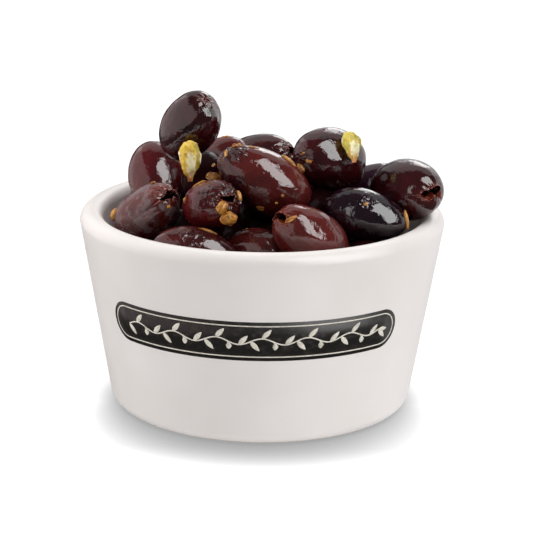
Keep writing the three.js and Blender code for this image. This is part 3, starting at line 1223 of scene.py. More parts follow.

# Name, centre, the way that the holed end points (round from +X and above level), length, width,
# skin, tone, and then the hole and the patches of crumpled or recoloured skin where it has them.
LAID = (
    Laid(
        CROWNING,
        (-19.7, -1.2, 77.4), -55, 48, 24.6, 15.5, Kind.AUBERGINE, 0.15, PEAK_HOLE,
        (Patch(-64, 39, 12.5, depth=0.13),),
    ),
    Laid(
        "left_shoulder",
        (-29.7, 7.3, 60.4), -81, -48, 22, 15.4, Kind.AUBERGINE, 0.75, None,
        # Painted light: its right side is painted warmer and brighter, though the olives round it
        # shade it.
        (Patch(-30, 0, 60, depth=0, tone_shift=0.8),),
    ),
    Laid(
        "left_front",
        (-30.9, -11, 54.6), -44, 39, 26, 14.8, Kind.DULL, 0.6, LEFT_HOLE,
        (
            Patch(-60, 50, 30, depth=0.12, bare=0.6),
            Patch(-88, 6, 13, depth=0.14, bare=0.3, tone_shift=-0.8),
        ),
    ),
    Laid(
        "under_pod",
        (-13.4, -21.5, 60.4), -57, 22, 21, 13.2, Kind.DRENCHED, 0.75, POD_HOLE,
        # Its right side and front are painted darker.
        (Patch(-42, 25, 46, depth=0.2, tone_shift=-0.8), Patch(-110, 30, 40, depth=0.05, tone_shift=-0.4)),
    ),
    Laid(
        "long_middle",
        (0.5, -12, 64.8), -174, 31, 27.9, 16.2, Kind.RED_BROWN, 0.45, None,
        # Painted shade: its left end and underside are painted darker, where the olives round it
        # close over it.
        (Patch(-165, 45, 28, depth=0.14, tone_shift=-0.4), Patch(-150, -10, 45, depth=0, tone_shift=-0.5)),
    ),
    Laid(
        "back_middle",
        (-1, 19.7, 63.2), -25, 19, 23, 14.4, Kind.RED_BROWN, 0.1, BACK_HOLE,
    ),
    Laid(
        "right_crown",
        (18.1, 0, 68.1), -132, 21, 23.8, 17.3, Kind.AUBERGINE, 0.25, None,
        (Patch(-138, 12, 26, depth=0.13),),
    ),
    Laid(
        "on_rim",
        (39.4, -5.5, 61.1), -58, 10, 25.3, 17.2, Kind.SHADED, 0.15, RIM_HOLE,
    ),
    Laid(
        "purple",
        (27.5, -15.3, 56.4), -12, -12, 22.9, 14.3, Kind.PURPLE, 0.2, None,
        (Patch(-80, 48, 34, depth=0.055),),
    ),
    Laid(
        "front_right",
        (12.6, -29.1, 53.7), -144, 36, 25.4, 15.8, Kind.RED_BROWN, 0.6, FRONT_HOLE,
    ),
    Laid(
        "front_left",
        (-17.7, -30, 49.7), -7, -5, 23, 13, Kind.RED_BROWN, 0.2, None,
        (Patch(-110, 60, 40, depth=0.07),),
    ),
    Laid(
        "front_low",
        (-2.1, -24.5, 48), -48, 19, 20, 13.2, Kind.RED_BROWN, 0.3, None,
        (Patch(-90, 60, 35, depth=0.03),),
    ),
    Laid("behind_peak", (-12.8, 11, 63.3), -32, 38, 22, 14.2, Kind.RED_BROWN, 0.5),
    Laid("right_back", (30, 11.2, 56.3), -4, 23, 24, 15, Kind.PURPLE, 0.9),
    Laid("behind_pod", (-15.5, -4.3, 63.4), 84, 23, 19, 12.6, Kind.PAINTED_SHADE, 0.4),
    Laid("under_crown", (15, -3, 54.3), 60, 0, 22, 14, Kind.PAINTED_SHADE, 0.4),
)

# Loose olives start in arcs: height, radius, how many, and the first and last angle in degrees.
ARCS = (
    (36, 33, 11, 0, 327),
    (36, 18, 6, 20, 320),
    (37, 1, 1, 0, 0),
    (49, 31, 6, -5, 185),
    (49, 13, 4, 0, 270),
    (47, 34, 3, 172, 318),
    (55, 12, 2, 90, 200),
    (60, 27, 3, 50, 150),
)
LOOSE_SKINS = (Kind.AUBERGINE, Kind.AUBERGINE, Kind.RED_BROWN, Kind.RED_BROWN, Kind.PURPLE)


@dataclass
class Heap:
    """The olives: those laid one by one, the loose ones that settle round them, and a core."""

    dish: Dish
    gap: float = 0.4  # between the heap and the dish
    core_wall: float = 42.0  # the core's height at the wall
    core_crown: float = 50.0  # the core's height in the middle
    core_lumps: tuple[tuple[float, float], ...] = ((9.0, 0.9), (3.0, 0.3))  # spacing and height
    core_sag: float = 1.4  # how far the lumps hang down, so that none stands out of the olives
    core_even: float = 38.0  # the height up to which the core's side is even
    contact: float = 0.6  # how far two olives may press into each other while they settle
    end_share: float = 0.8  # the size of an olive's end balls beside its middle ball
    steps: int = 300
    rounds: int = 3  # of pushing apart in each step
    sink: float = 0.05  # how far the loose olives sink in each step
    ease: float = 0.7  # the share of each push that is followed
    bed: float = 26.0  # the height that nothing sinks under
    showing: float = -4.0  # how far over the core an olive's middle is if the olive shows
    loose_length: tuple[float, float] = (21.0, 25.0)
    loose_width: tuple[float, float] = (13.2, 15.6)
    loose_hole: float = 1.9
    loose_seed: int = 7
    wander: float = 8.0  # degrees along the arc
    swing: float = 60.0  # degrees round from lying along the arc
    tip: float = 30.0  # degrees up and down
    shade_from: float = -3.0  # loose olives further to the front lie in the laid ones' shade
    loose_tone: tuple[float, float] = (0.1, 0.8)
    skin_seed: int = 3  # fixes the loose olives' skins and tones
    laid_grid: tuple[int, int] = (64, 112)  # rows and columns of points on a laid olive
    loose_grid: tuple[int, int] = (34, 56)  # and on a loose one, which shows less
    olives: list[Olive] = field(default_factory=list)

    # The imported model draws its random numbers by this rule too, so both heaps lie alike.
    DRAW_FACTOR: ClassVar[int] = 1664525
    DRAW_STEP: ClassVar[int] = 1013904223
    DRAW_RANGE: ClassVar[int] = 2**32

    def loose(self) -> list[Olive]:
        """Draws the loose olives.

        Returns:
            The olives where they start.
        """
        state = self.loose_seed

        def draw() -> float:
            """The next random number, from 0 to 1."""
            nonlocal state
            state = (state * self.DRAW_FACTOR + self.DRAW_STEP) % self.DRAW_RANGE
            return state / self.DRAW_RANGE

        def draw_between(least: float, most: float) -> float:
            """A random number between two others."""
            return least + (most - least) * draw()

        olives = []
        torn = Hole(self.loose_hole, tears=(Tear(0, 1.5),))
        for height, radius, count, first, last in ARCS:
            for k in range(count):
                step = (last - first) / (count - 1) if count > 1 else 0
                angle = first + step * k + self.wander * (draw() - 0.5)
                a = math.radians(angle)
                centre = np.array([radius * math.cos(a), radius * math.sin(a), float(height)])
                across = angle + 90 + self.swing * (draw() - 0.5)
                axis = heading(across, self.tip * (draw() - 0.5))
                length = draw_between(*self.loose_length)
                width = draw_between(*self.loose_width)
                hole = torn if draw() < 0.5 else None
                name = f"loose_{len(olives)}"
                olives.append(Olive(name, centre, axis, length, width, hole, fixed=False))
        return olives

    def settle(self) -> None:
        """Lets the loose olives sink and pushes them off each other, the dish and their bed.

        An olive is three balls in a row, and what presses into a ball pushes it.
        """
        middles = np.array([o.width / 2 for o in self.olives])
        ends = self.end_share * middles
        reach = np.array([o.length / 2 for o in self.olives]) - ends
        centres = np.array([o.centre for o in self.olives])
        axes = np.array([o.axis for o in self.olives])
        fixed = np.array([o.fixed for o in self.olives])
        free = ~fixed
        radii = np.stack([ends, middles, ends], 1)
        tips = np.stack([centres + axes * reach[:, None], centres - axes * reach[:, None]], 1)
        for _ in range(self.steps):
            tips[free, :, 2] -= self.sink
            for _ in range(self.rounds):
                middle = tips.mean(1)
                balls = np.stack([tips[:, 0], middle, tips[:, 1]], 1)
                push = self.pushes(balls, radii, fixed)
                # Each end follows its own ball's push and half of the middle ball's.
                tips[free, 0] += self.ease * push[free, 0] + self.ease / 2 * push[free, 1]
                tips[free, 1] += self.ease * push[free, 2] + self.ease / 2 * push[free, 1]
                centre = tips.mean(1)
                axis = tips[:, 0] - tips[:, 1]
                axis /= np.linalg.norm(axis, axis=1, keepdims=True)
                tips[free, 0] = (centre + axis * reach[:, None])[free]
                tips[free, 1] = (centre - axis * reach[:, None])[free]
        for k, olive in enumerate(self.olives):
            if not olive.fixed:
                olive.centre = tips[k].mean(0)
                olive.axis = unit(tips[k, 0] - tips[k, 1])

    def pushes(self, balls: Array, radii: Array, fixed: Array) -> Array:
        """The push on every ball from other olives, the dish and the bed.

        Args:
            balls: The centres of each olive's three balls.
            radii: Their radii.
            fixed: Which olives don't move.

        Returns:
            A vector for each ball.
        """
        count = len(balls)
        flat, size = balls.reshape(-1, 3), radii.reshape(-1)
        owner = np.repeat(np.arange(count), 3)
        away = flat[:, None] - flat[None]
        far = np.linalg.norm(away, axis=-1)
        pressed = size[:, None] + size[None] - self.contact - far
        touching = (pressed > 0) & (owner[:, None] != owner[None])
        # Two loose olives share a push, and one beside a laid olive takes all of it.
        weight = np.where(fixed[owner], 1.0, 0.5)[None] * pressed / np.maximum(far, 1e-9)
        push = (away * np.where(touching, weight, 0)[..., None]).sum(1)
        many = np.maximum(1, touching.sum(1))
        push /= np.sqrt(many)[:, None]
        out = np.hypot(flat[:, 0], flat[:, 1])
        level = flat * [1, 1, 0]
        # Under the rim's centre the wall pushes inwards, and over it the rim's half round pushes.
        rim_out, rim_up = self.dish.rim_centre
        inside = flat[:, 2] < rim_up
        past = out + size + self.gap - self.dish.inner_radius(flat[:, 2])
        wall = np.where(inside & (past > 0), -past / out, 0)[:, None] * level
        side, above = out - rim_out, flat[:, 2] - rim_up
        distance = np.hypot(side, above)
        over = self.dish.rim_round + self.gap + size - distance
        across = level * (side / out)[:, None] + above[:, None] * UP
        rim = np.where(~inside & (over > 0), over / distance, 0)[:, None] * across
        push = push + wall + rim
        push[:, 2] += np.maximum(0, self.bed + size - flat[:, 2])
        return push.reshape(balls.shape)

    def core_height(self, out: float) -> float:
        """Finds the core's surface.

        Args:
            out: Distance from the dish's axis.

        Returns:
            The surface's height there.
        """
        edge = self.dish.inner_radius(self.core_wall) - self.gap
        bow = math.cos(math.pi / 2 * min(1.0, out / edge))
        return self.core_wall + (self.core_crown - self.core_wall) * bow

    def shows(self, olive: Olive) -> bool:
        """Tells whether an olive stands out of the core.

        Args:
            olive: The olive, settled.

        Returns:
            True if some of it shows.
        """
        out = math.hypot(olive.centre[0], olive.centre[1])
        return olive.centre[2] - self.core_height(out) > self.showing

    def core(self) -> Shape:
        """Draws the dark lumpy mass under the olives that show.

        Returns:
            The core, clear of the dish by the gap.
        """
        floor = self.dish.floor_top + self.gap
        bend = self.dish.floor_round
        floor_x = self.dish.inner_radius(floor + bend) - self.gap - bend
        edge = self.dish.inner_radius(self.core_wall) - self.gap
        tops = [(edge * s, self.core_height(edge * s)) for s in np.linspace(1, 0, 26)[:-1]]
        section = [(0.0, floor), *arc((floor_x, floor + bend), bend, -90, 0, 6), *tops]
        shape = turned([*section, (0.0, self.core_crown)], 120)
        lumps = sum(
            Ripples(spacing, 51 + k).at(shape.points) * height
            for k, (spacing, height) in enumerate(self.core_lumps)
        )
        out = np.hypot(shape.points[:, 0], shape.points[:, 1])
        upper = smooth((shape.points[:, 2] - self.core_even) / 4) * smooth((edge - out) / 3)
        shape.points[:, 2] += (lumps - self.core_sag) * upper
        return shape

    def build(self) -> None:
        """Lays and settles the olives, then makes one piece for each kind of skin."""
        self.olives = [laid.olive() for laid in LAID] + self.loose()
        self.settle()
        chance = np.random.default_rng(self.skin_seed)
        groups: dict[Kind, list[Shape]] = {kind: [] for kind in Kind}
        crowning: list[Shape] = []
        for index, olive in enumerate(self.olives):
            if not olive.fixed:
                olive.kind = LOOSE_SKINS[int(chance.integers(len(LOOSE_SKINS)))]
                olive.tone = float(chance.uniform(*self.loose_tone))
                if olive.centre[1] < self.shade_from:
                    olive.kind = Kind.PAINTED_SHADE
            if self.shows(olive):
                rows, sides = self.laid_grid if olive.fixed else self.loose_grid
                group = crowning if olive.name == CROWNING else groups[olive.kind]
                group.append(olive.shape(rows, sides, 100 + 17 * index))
        for skin in SKINS:
            material = skin.material()
            made = Shape.joined(groups[skin.kind]).piece(
                f"{skin.kind.value}_olives", material, ["olive_heap"], "olive_skin"
            )
            # Olives deep in the gaps are painted near black as shade, and aren't mirrored in other
            # skins.
            made.visible_glossy = skin.kind is not Kind.PAINTED_SHADE
            if skin.kind is Kind.AUBERGINE:
                peak = Shape.joined(crowning).piece(
                    CROWNING_PIECE, material, ["olive_heap"], "olive_skin"
                )
                # It would hide the window in the skin under it.
                peak.visible_glossy = peak.visible_shadow = False
        self.core().piece("heap_core", PaintedShadeCore().material(), ["olive_heap"], "olive_skin")

    def named(self, name: str) -> Olive:
        """The laid olive with a name."""
        return next(olive for olive in self.olives if olive.name == name)


@dataclass(frozen=True)
class PaintedShadeCore:
    """A lumpy mass that fills the dish under the whole olives.

    It is painted close to black as shade, so a gap between two olives looks deep.
    """

    colour: str = "#0d0607"
    patch: str = "#22100d"
    grain: float = 2.0  # millimetres between lumps

    def material(self) -> bpy.types.Material:
        """Builds the nodes of the mass.

        Returns:
            The material.
        """
        material, tree = new_material("painted_shade_core")
        place = add_node(tree, SURFACE).outputs["Object"]
        lumps = add_node(
            tree, NOISE, {"Vector": place, "Scale": 1 / (self.grain * MM), "Detail": 4.0}
        )
        patches = add_node(tree, RANGE, (lumps, 0.45, 0.7, 0.0, 1.0))
        inputs = {
            "Base Color": layered(tree, self.colour, ((patches, self.patch),)),
            "Roughness": 0.5,
            "IOR": 1.47,
            "Specular IOR Level": 0.04,
            "Normal": add_node(
                tree, BUMP, {"Height": lumps, "Strength": 0.8, "Distance": 0.3 * MM}
            ),
        }
        add_node(tree, OUTPUT, (add_node(tree, PRINCIPLED, inputs),))
        return material


# ---------------------------------------------------------------- the spice


class Spice(Enum):
    """The kinds of bits that stick to the olives."""

    SEED = "seed"
    HUSK = "husk"
    FLAKE = "flake"
    KERNEL = "kernel"


# How far the middle of a bit lies over the skin, as a share of its thickness.
LIFT = {Spice.SEED: 0.1, Spice.KERNEL: 0.3, Spice.HUSK: 0.0, Spice.FLAKE: -0.1}

# Kind, the olive that it lies on, heading and pitch from that olive's centre, the turn of its long
# side away from the olive's axis, length, width and thickness.
BITS = (
    (Spice.SEED, "left_front", 172, -2, 53, 3.5, 2.4, 2.0),
    (Spice.FLAKE, "under_pod", 176, 9, 67, 1.8, 1.2, 0.9),
    (Spice.HUSK, "behind_pod", -73, 16, -65, 4.1, 2.4, 1.8),
    (Spice.FLAKE, "under_pod", 167, 56, 57, 3.8, 0.8, 0.8),
    (Spice.KERNEL, "under_pod", -72, 11, 20, 3.5, 3.1, 2.8),
    (Spice.KERNEL, "under_pod", -61, -6, -101, 4.8, 4.1, 3.5),
    (Spice.SEED, "under_pod", -33, 23, -96, 3.1, 1.1, 1.3),
    (Spice.FLAKE, "front_left", 8, 60, 3, 4.9, 1.5, 0.9),
    (Spice.FLAKE, "behind_peak", -35, 71, 26, 3.5, 1.6, 1.0),
    (Spice.HUSK, "long_middle", -173, 52, -168, 2.9, 1.5, 1.6),
    (Spice.FLAKE, "long_middle", -157, 70, -176, 3.3, 0.8, 0.8),
    (Spice.SEED, "long_middle", 0, 41, 164, 4.8, 1.1, 1.2),
    (Spice.KERNEL, "right_crown", -133, -2, -134, 2.7, 2.1, 1.9),
    (Spice.HUSK, "long_middle", -100, -47, -139, 2.2, 1.8, 1.0),
    (Spice.HUSK, "front_right", -123, 37, -128, 3.5, 1.2, 1.0),
    (Spice.SEED, "purple", -13, -2, -17, 5.3, 1.4, 1.4),
    (Spice.SEED, "long_middle", -163, 37, -79, 2.3, 0.9, 1.2),
    (Spice.FLAKE, "right_crown", -121, 8, -136, 2.0, 1.1, 0.8),
    (Spice.FLAKE, "purple", -90, 40, 39, 1.5, 0.9, 0.7),
    (Spice.FLAKE, "behind_pod", -63, 45, -15, 2.2, 0.9, 0.8),
    (Spice.FLAKE, "front_low", 144, 67, 56, 2.2, 0.7, 0.8),
    (Spice.KERNEL, "left_front", -56, 24, -65, 1.0, 0.9, 0.8),
    (Spice.KERNEL, "left_front", -57, 72, 42, 1.3, 1.0, 0.8),
    (Spice.FLAKE, "right_crown", -131, 17, -52, 1.5, 0.6, 0.6),
    (Spice.KERNEL, "long_middle", -57, -14, -153, 1.0, 0.9, 0.6),
    (Spice.KERNEL, "long_middle", -66, -28, -151, 0.8, 0.7, 0.5),
)


@dataclass(frozen=True)
class SpiceSkin:
    """Dried seed coat or husk, softened and gilded by the oil.

    The coat is fibrous along its length and lets a little light in, so it glows amber at its edges.
    """

    kind: Spice
    light: str
    dark: str
    fibre: float  # millimetres between fibres
    ridge: float = 0.25  # how high the fibres stand, in millimetres

    def material(self) -> bpy.types.Material:
        """Builds the coat's nodes.

        Returns:
            The material.
        """
        material, tree = new_material(f"oiled_{self.kind.value}_coat")
        place = add_node(tree, ATTRIBUTE, attribute_name="place").outputs["Vector"]
        shape = {"Vector": place, "Scale": 1 / self.fibre, "Detail": 4.0, "Roughness": 0.65}
        fibres = add_node(tree, NOISE, shape)
        crests = add_node(tree, RANGE, (fibres, 0.38, 0.62, 0.0, 1.0))
        relief = {"Height": fibres, "Strength": 0.8, "Distance": self.ridge * MM}
        inputs = {
            "Base Color": layered(tree, self.dark, ((crests, self.light),)),
            "Roughness": 0.18,
            "IOR": 1.5,
            "Subsurface Weight": 0.15,
            "Subsurface Radius": (1.0, 0.5, 0.2),
            "Subsurface Scale": 0.6 * MM,
            "Normal": add_node(tree, BUMP, relief),
        }
        add_node(tree, OUTPUT, (add_node(tree, PRINCIPLED, inputs),))
        return material


SPICE_SKINS = (
    SpiceSkin(Spice.SEED, "#dba24c", "#96602a", 0.5),
    SpiceSkin(Spice.HUSK, "#d0934a", "#7e4a22", 0.6),
    SpiceSkin(Spice.FLAKE, "#d0964a", "#8a5226", 0.6),
    SpiceSkin(Spice.KERNEL, "#d2943e", "#84501e", 1.0, 0.2),
)


@dataclass(frozen=True)
class Bit:
    """One bit of spice."""

    kind: Spice
    length: float
    width: float
    thickness: float
    seed: int
    rows: int = 22
    sides: int = 30

    LUMPS: ClassVar[float] = 0.9  # spacing of the bit's unevenness
    ROUGH: ClassVar[dict[Spice, float]] = {
        Spice.SEED: 0.03,
        Spice.KERNEL: 0.06,
        Spice.FLAKE: 0.14,
        Spice.HUSK: 0.1,
    }
    RIBS: ClassVar[int] = 7  # along a seed
    BEND: ClassVar[float] = 0.25  # how far a flake's ends bend aside, as a share of its width
    HEEL: ClassVar[float] = 0.02  # how far each end stands out, as a share of the length

    def shape(self) -> Shape:
        """Draws the bit.

        Returns:
            Its surface, with the long side along X and Z outwards.
        """
        draw = np.random.default_rng(self.seed)
        angle = np.linspace(0, math.pi, self.rows + 2)[1:-1][:, None]
        around = np.linspace(0, 2 * math.pi, self.sides, endpoint=False)[None, :]
        along = -np.cos(angle) + 0 * around
        out = np.sin(angle) + 0 * around
        if self.kind is Spice.SEED:  # spindle-shaped and ribbed
            out = out**1.25 * (1 + 0.07 * np.cos(self.RIBS * around))
        elif self.kind is Spice.KERNEL:  # a waist between its two lobes
            out = out * (1 - 0.12 * np.exp(-((along - 0.15) ** 2) / 0.05))
        elif self.kind is Spice.FLAKE:  # blunt at its ends
            out = out**0.8
        points = np.stack([along, out * np.cos(around), out * np.sin(around)], -1)
        lumps = Ripples(self.LUMPS, self.seed).at(points)
        points = points * (1 + self.ROUGH[self.kind] * lumps)[..., None]
        size = np.array([self.length, self.width, self.thickness]) / 2
        points = points * size
        to_end, to_side = ((points[..., k] / size[k]) ** 2 for k in (0, 1))
        if self.kind is Spice.HUSK:  # a shallow cup
            points[..., 2] += self.thickness * (0.45 * (to_side + 0.5 * to_end) - 0.25)
        if self.kind is Spice.FLAKE:  # bent aside and curled over
            points[..., 1] += draw.uniform(-self.BEND, self.BEND) * self.width * to_end
            points[..., 2] -= 0.2 * self.thickness * to_end
        paint = {"place": points * [0.3, 1, 1] + draw.uniform(-90, 90, 3)}
        heel = np.array([self.HEEL * self.length, 0, 0])
        return Shape.skin(points, points[0].mean(0) - heel, points[-1].mean(0) + heel, paint)


@dataclass
class SpiceMix:
    """All the bits that stick to the olives."""

    heap: Heap

    def build(self) -> None:
        """Makes one piece for each kind of spice."""
        groups: dict[Spice, list[Shape]] = {kind: [] for kind in Spice}
        for index, (kind, on, azimuth, pitch, spin, length, width, thick) in enumerate(BITS):
            olive = self.heap.named(on)
            centre, axes = olive.seat(azimuth, pitch, spin, LIFT[kind] * thick)
            shape = Bit(kind, length, width, thick, 300 + index).shape()
            groups[kind].append(shape.placed(centre, axes))
        for skin in SPICE_SKINS:
            Shape.joined(groups[skin.kind]).piece(
                f"spice_{skin.kind.value}s", skin.material(), ["olive_heap"], "olive_skin"
            )


# ---------------------------------------------------------------- the pods


@dataclass(frozen=True)
class PodMembrane:
    """The papery membrane of a young pod, swollen with oil.

    Light gets into it, so it is bright yellow-green with creamy thin edges, and a creamy glow in its
    middle is painted light. Its tip, where it was cut from the stalk, has browned.
    """

    name: str
    green: str
    yellow: str
    # The cream of the thin edges and of the glow that is painted in the middle.
    cream: str
    tip: str
    wrinkle: float = 1.3  # millimetres between wrinkles

    def material(self) -> bpy.types.Material:
        """Builds the membrane's nodes.

        Returns:
            The material.
        """
        material, tree = new_material(self.name)
        place = add_node(tree, ATTRIBUTE, attribute_name="place").outputs["Vector"]
        pale_and_painted_light, green, brown = (
            add_node(tree, ATTRIBUTE, attribute_name=paint).outputs["Fac"]
            for paint in ("pale_and_painted_light", "green", "brown")
        )
        shape = {
            "Vector": place,
            "Scale": 1 / self.wrinkle,
            "Detail": 5.0,
            "Roughness": 0.6,
            "Distortion": 1.0,
        }
        wrinkles = add_node(tree, NOISE, shape)
        film = add_node(tree, RANGE, (wrinkles, 0.5, 0.75, 0.0, 0.6))
        coats = ((film, self.green), (green, self.green), (pale_and_painted_light, self.cream), (brown, self.tip))
        relief = {"Height": wrinkles, "Strength": 0.9, "Distance": 0.35 * MM}
        inputs = {
            "Base Color": layered(tree, self.yellow, coats),
            "Roughness": 0.14,
            "IOR": 1.5,
            "Subsurface Weight": 0.45,
            "Subsurface Radius": (1.0, 0.8, 0.3),
            "Subsurface Scale": 1.2 * MM,
            "Normal": add_node(tree, BUMP, relief),
        }
        add_node(tree, OUTPUT, (add_node(tree, PRINCIPLED, inputs),))
        return material


@dataclass(frozen=True)
class Pod:
    """A flat egg that tapers to a cut tip, wrinkled along its length."""

    node: str
    top: tuple[float, float, float]
    tip: tuple[float, float, float]
    facing: tuple[float, float, float]  # the way that its broad side looks
    width: float
    thickness: float
    skin: PodMembrane
    seed: int
    rows: int = 70
    sides: int = 72

    # Place across and half width, as shares of half the pod's width, and height.
    RIDGE: ClassVar[tuple[float, float, float]] = (0.48, 0.13, 0.4)  # down its right side
    HOLLOW: ClassVar[tuple[float, float, float]] = (0.05, 0.32, -0.35)  # between its sides
    FRAY: ClassVar[float] = 0.15  # how ragged its top is
    SPREAD: ClassVar[float] = 50.0  # how far apart two pods' patterns are taken from

    # Half width from the cut tip to the blunt top, as shares of the size.
    OUTLINE: ClassVar[tuple[tuple[float, float], ...]] = (
        (0.2, 0.0),
        (0.34, 0.12),
        (0.72, 0.32),
        (0.97, 0.52),
        (0.99, 0.68),
        (0.78, 0.86),
        (0.42, 0.97),
        (0.0, 1.0),
    )

    def axes(self) -> tuple[Array, float]:
        """Works out how the pod stands.

        Returns:
            Its sideways, lengthwise and outward directions as columns, and its length.
        """
        along = np.array(self.top) - np.array(self.tip)
        length = float(np.linalg.norm(along))
        along = along / length
        out = np.array(self.facing)
        out = unit(out - along * (out @ along))
        return np.stack([np.cross(along, out), along, out], -1), length

    def girth(self, reach: Array) -> Array:
        """Rounds the outline's corners off.

        Args:
            reach: Places from the cut tip to the blunt top.

        Returns:
            The half width at each place, as a share of half the pod's width.
        """
        wide, places = np.array(self.OUTLINE).T
        wide = np.interp(reach, places, wide)
        kernel = np.hanning(9) / np.hanning(9).sum()
        wide = np.convolve(np.pad(wide, 4, mode="edge"), kernel, mode="valid")
        top = (reach[-6:] - 0.55) / 0.45  # its last rows are an ellipse, so that it closes round
        wide[-6:] = np.sqrt(np.clip(1 - top**2, 0, 1)) * 0.99
        return wide

    def paint(self, rows: Array, length: float) -> dict[str, Array]:
        """Works out where each colour of the membrane shows.

        Args:
            rows: The pod's points, with X across, Y from tip to top and Z outwards.
            length: The pod's length.

        Returns:
            The share of each colour at each point.
        """
        across, share = rows[..., 0] / (self.width / 2), rows[..., 1] / length
        mottled = Ripples(2.0, self.seed + 2).at(rows)
        flecked = Ripples(1.3, self.seed + 4).at(rows)
        # It is creamy along its thin edges, and an oval under its middle is painted light, a glow
        # through it.
        thin = 1.5 - ((across - 0.1) / 0.42) ** 2 - ((share - 0.42) / 0.26) ** 2
        pale_and_painted_light = smooth(thin + 0.5 * flecked)
        pale_and_painted_light = np.maximum(pale_and_painted_light, smooth((np.abs(across) - 0.86) / 0.1 + 0.3 * mottled))
        green = smooth((across - 0.3) / 0.3 + 0.5 * mottled) * (1 - pale_and_painted_light)
        # It is brown at the tip, stained over it and freckled.
        tip = smooth((0.14 - share) / 0.06 + 0.3 * mottled)
        tone_shift = 0.5 * smooth((0.34 - share) / 0.14 + 0.5 * mottled)
        freckles = 0.6 * smooth(1.6 * mottled + 0.8 * flecked - 2.3)
        brown = np.maximum(np.maximum(tip, tone_shift), freckles)
        return {"pale_and_painted_light": pale_and_painted_light * 0.95, "green": green, "brown": brown}

    def build(self) -> None:
        """Makes the pod."""
        axes, length = self.axes()
        reach = 0.5 - 0.5 * np.cos(math.pi * np.linspace(0.0, 1.0, self.rows + 2)[1:-1])
        reach, wide = reach[:, None], self.girth(reach)[:, None]
        around = np.linspace(0, 2 * math.pi, self.sides, endpoint=False)
        side, face = np.cos(around), np.sin(around)
        x, z = wide * side * self.width / 2, wide * face * self.thickness / 2
        rows = np.stack(np.broadcast_arrays(x, reach * length, z), -1)
        folds = Ripples(2.6, self.seed).at(rows * [1.4, 0.6, 1.4]) * 0.24
        creases = Ripples(1.1, self.seed + 1).at(rows * [1.2, 0.7, 1.2]) * 0.11
        push = np.stack([side, 0 * side, face], -1)[None] * (folds + creases)[..., None]
        for middle, half, height in (self.RIDGE, self.HOLLOW):
            beside = (rows[..., 0] / (self.width / 2) - middle) / half
            push[..., 2] += height * np.exp(-(beside**2)) * (face > 0)
        body = smooth(wide * 3)  # the ends stay closed
        rows = rows + push * body[..., None]
        frayed = Ripples(1.5, self.seed + 3).at(rows) * smooth((reach - 0.8) / 0.15)
        rows[..., 1] += self.FRAY * frayed * body
        shift = np.random.default_rng(self.seed).uniform(-self.SPREAD, self.SPREAD, 3)
        paint = {"place": rows + shift, **self.paint(rows, length)}
        first, last = np.array([0.0, 0.0, 0.0]), np.array([0.0, length, 0.0])
        shape = Shape.skin(rows, first, last, paint).placed(np.array(self.tip), axes)
        name = self.node.replace("pod", "pale_pod")
        shape.piece(name, self.skin.material(), [self.node], "pod_skin")


PODS = (
    Pod(
        "pod_left",
        top=(-19.6, -10.4, 75.3),
        tip=(-19.5, -12.4, 64.4),
        facing=(0.0, -1.0, 0.2),
        width=6.0,
        thickness=3.0,
        skin=PodMembrane("golden_pod_membrane", "#b09a34", "#ecc850", "#fff6cc", "#a85e20"),
        seed=71,
    ),
    Pod(
        "pod_right",
        top=(23.3, -5.6, 77.3),
        tip=(24.6, -9.6, 69.6),
        facing=(0.3, -0.8, 0.5),
        width=5.6,
        thickness=2.6,
        skin=PodMembrane("lime_pod_membrane", "#a89c40", "#dac860", "#fff6cc", "#cc7c30"),
        seed=83,
    ),
)


# ---------------------------------------------------------------- the studio


class Sees(Enum):
    """What a lamp is for."""

    LIGHT = "light"
    REFLECTION = "reflection"


@dataclass(frozen=True)
class Panel:
    """A flat soft lamp that faces the dish.

    Azimuth 0 is in front of the dish and 90 to its right.
    """

    name: str
    sees: Sees
    azimuth: float
    elevation: float
    width: float
    height: float
    radiance: float
    colour: str = "#ffffff"
    flagged: tuple[str, ...] = ()  # the pieces that a flag shades from it
    only: tuple[str, ...] = ()  # the pieces that it is narrowed to, where it doesn't light all
    distance: float = 900.0

    def build(self, aim: Array) -> None:
        """Hangs the lamp.

        Args:
            aim: The point that it faces.
        """
        way = heading(self.azimuth - 90, self.elevation)
        data = bpy.data.lights.new(self.name, "AREA")
        data.shape = "RECTANGLE"
        data.size, data.size_y = self.width * MM, self.height * MM
        data.energy = self.radiance * math.pi * self.width * self.height * MM * MM
        data.color = linear(self.colour)[:3]
        lamp = bpy.data.objects.new(self.name, data)
        spot = (aim + way * self.distance) * MM
        right = unit(np.cross(UP, way))
        frame_axes = np.stack([right, np.cross(way, right), way], -1)
        matrix = Matrix(frame_axes.tolist()).to_4x4()
        matrix.translation = spot.tolist()
        lamp.matrix_world = matrix
        lamp.visible_camera = False
        lamp.visible_diffuse = self.sees is Sees.LIGHT
        lamp.visible_glossy = self.sees is Sees.REFLECTION
        lamp.visible_transmission = self.sees is Sees.LIGHT
        bpy.context.scene.collection.objects.link(lamp)

    def narrow(self) -> None:
        """Keeps the lamp off the flagged pieces, or on its own, once the pieces are there."""
        for names, state in ((self.flagged, "EXCLUDE"), (self.only, "INCLUDE")):
            if names:
                group = bpy.data.collections.new(self.name)
                for name in names:
                    group.objects.link(bpy.data.objects[name])
                for entry in group.collection_objects:
                    entry.light_linking.link_state = state
                bpy.data.objects[self.name].light_linking.receiver_collection = group


# The pieces that a screen keeps the left wall off.
SCREENED = ("shaded_olives", "purple_olives", "drenched_olives")
WARM = "#ffecec"


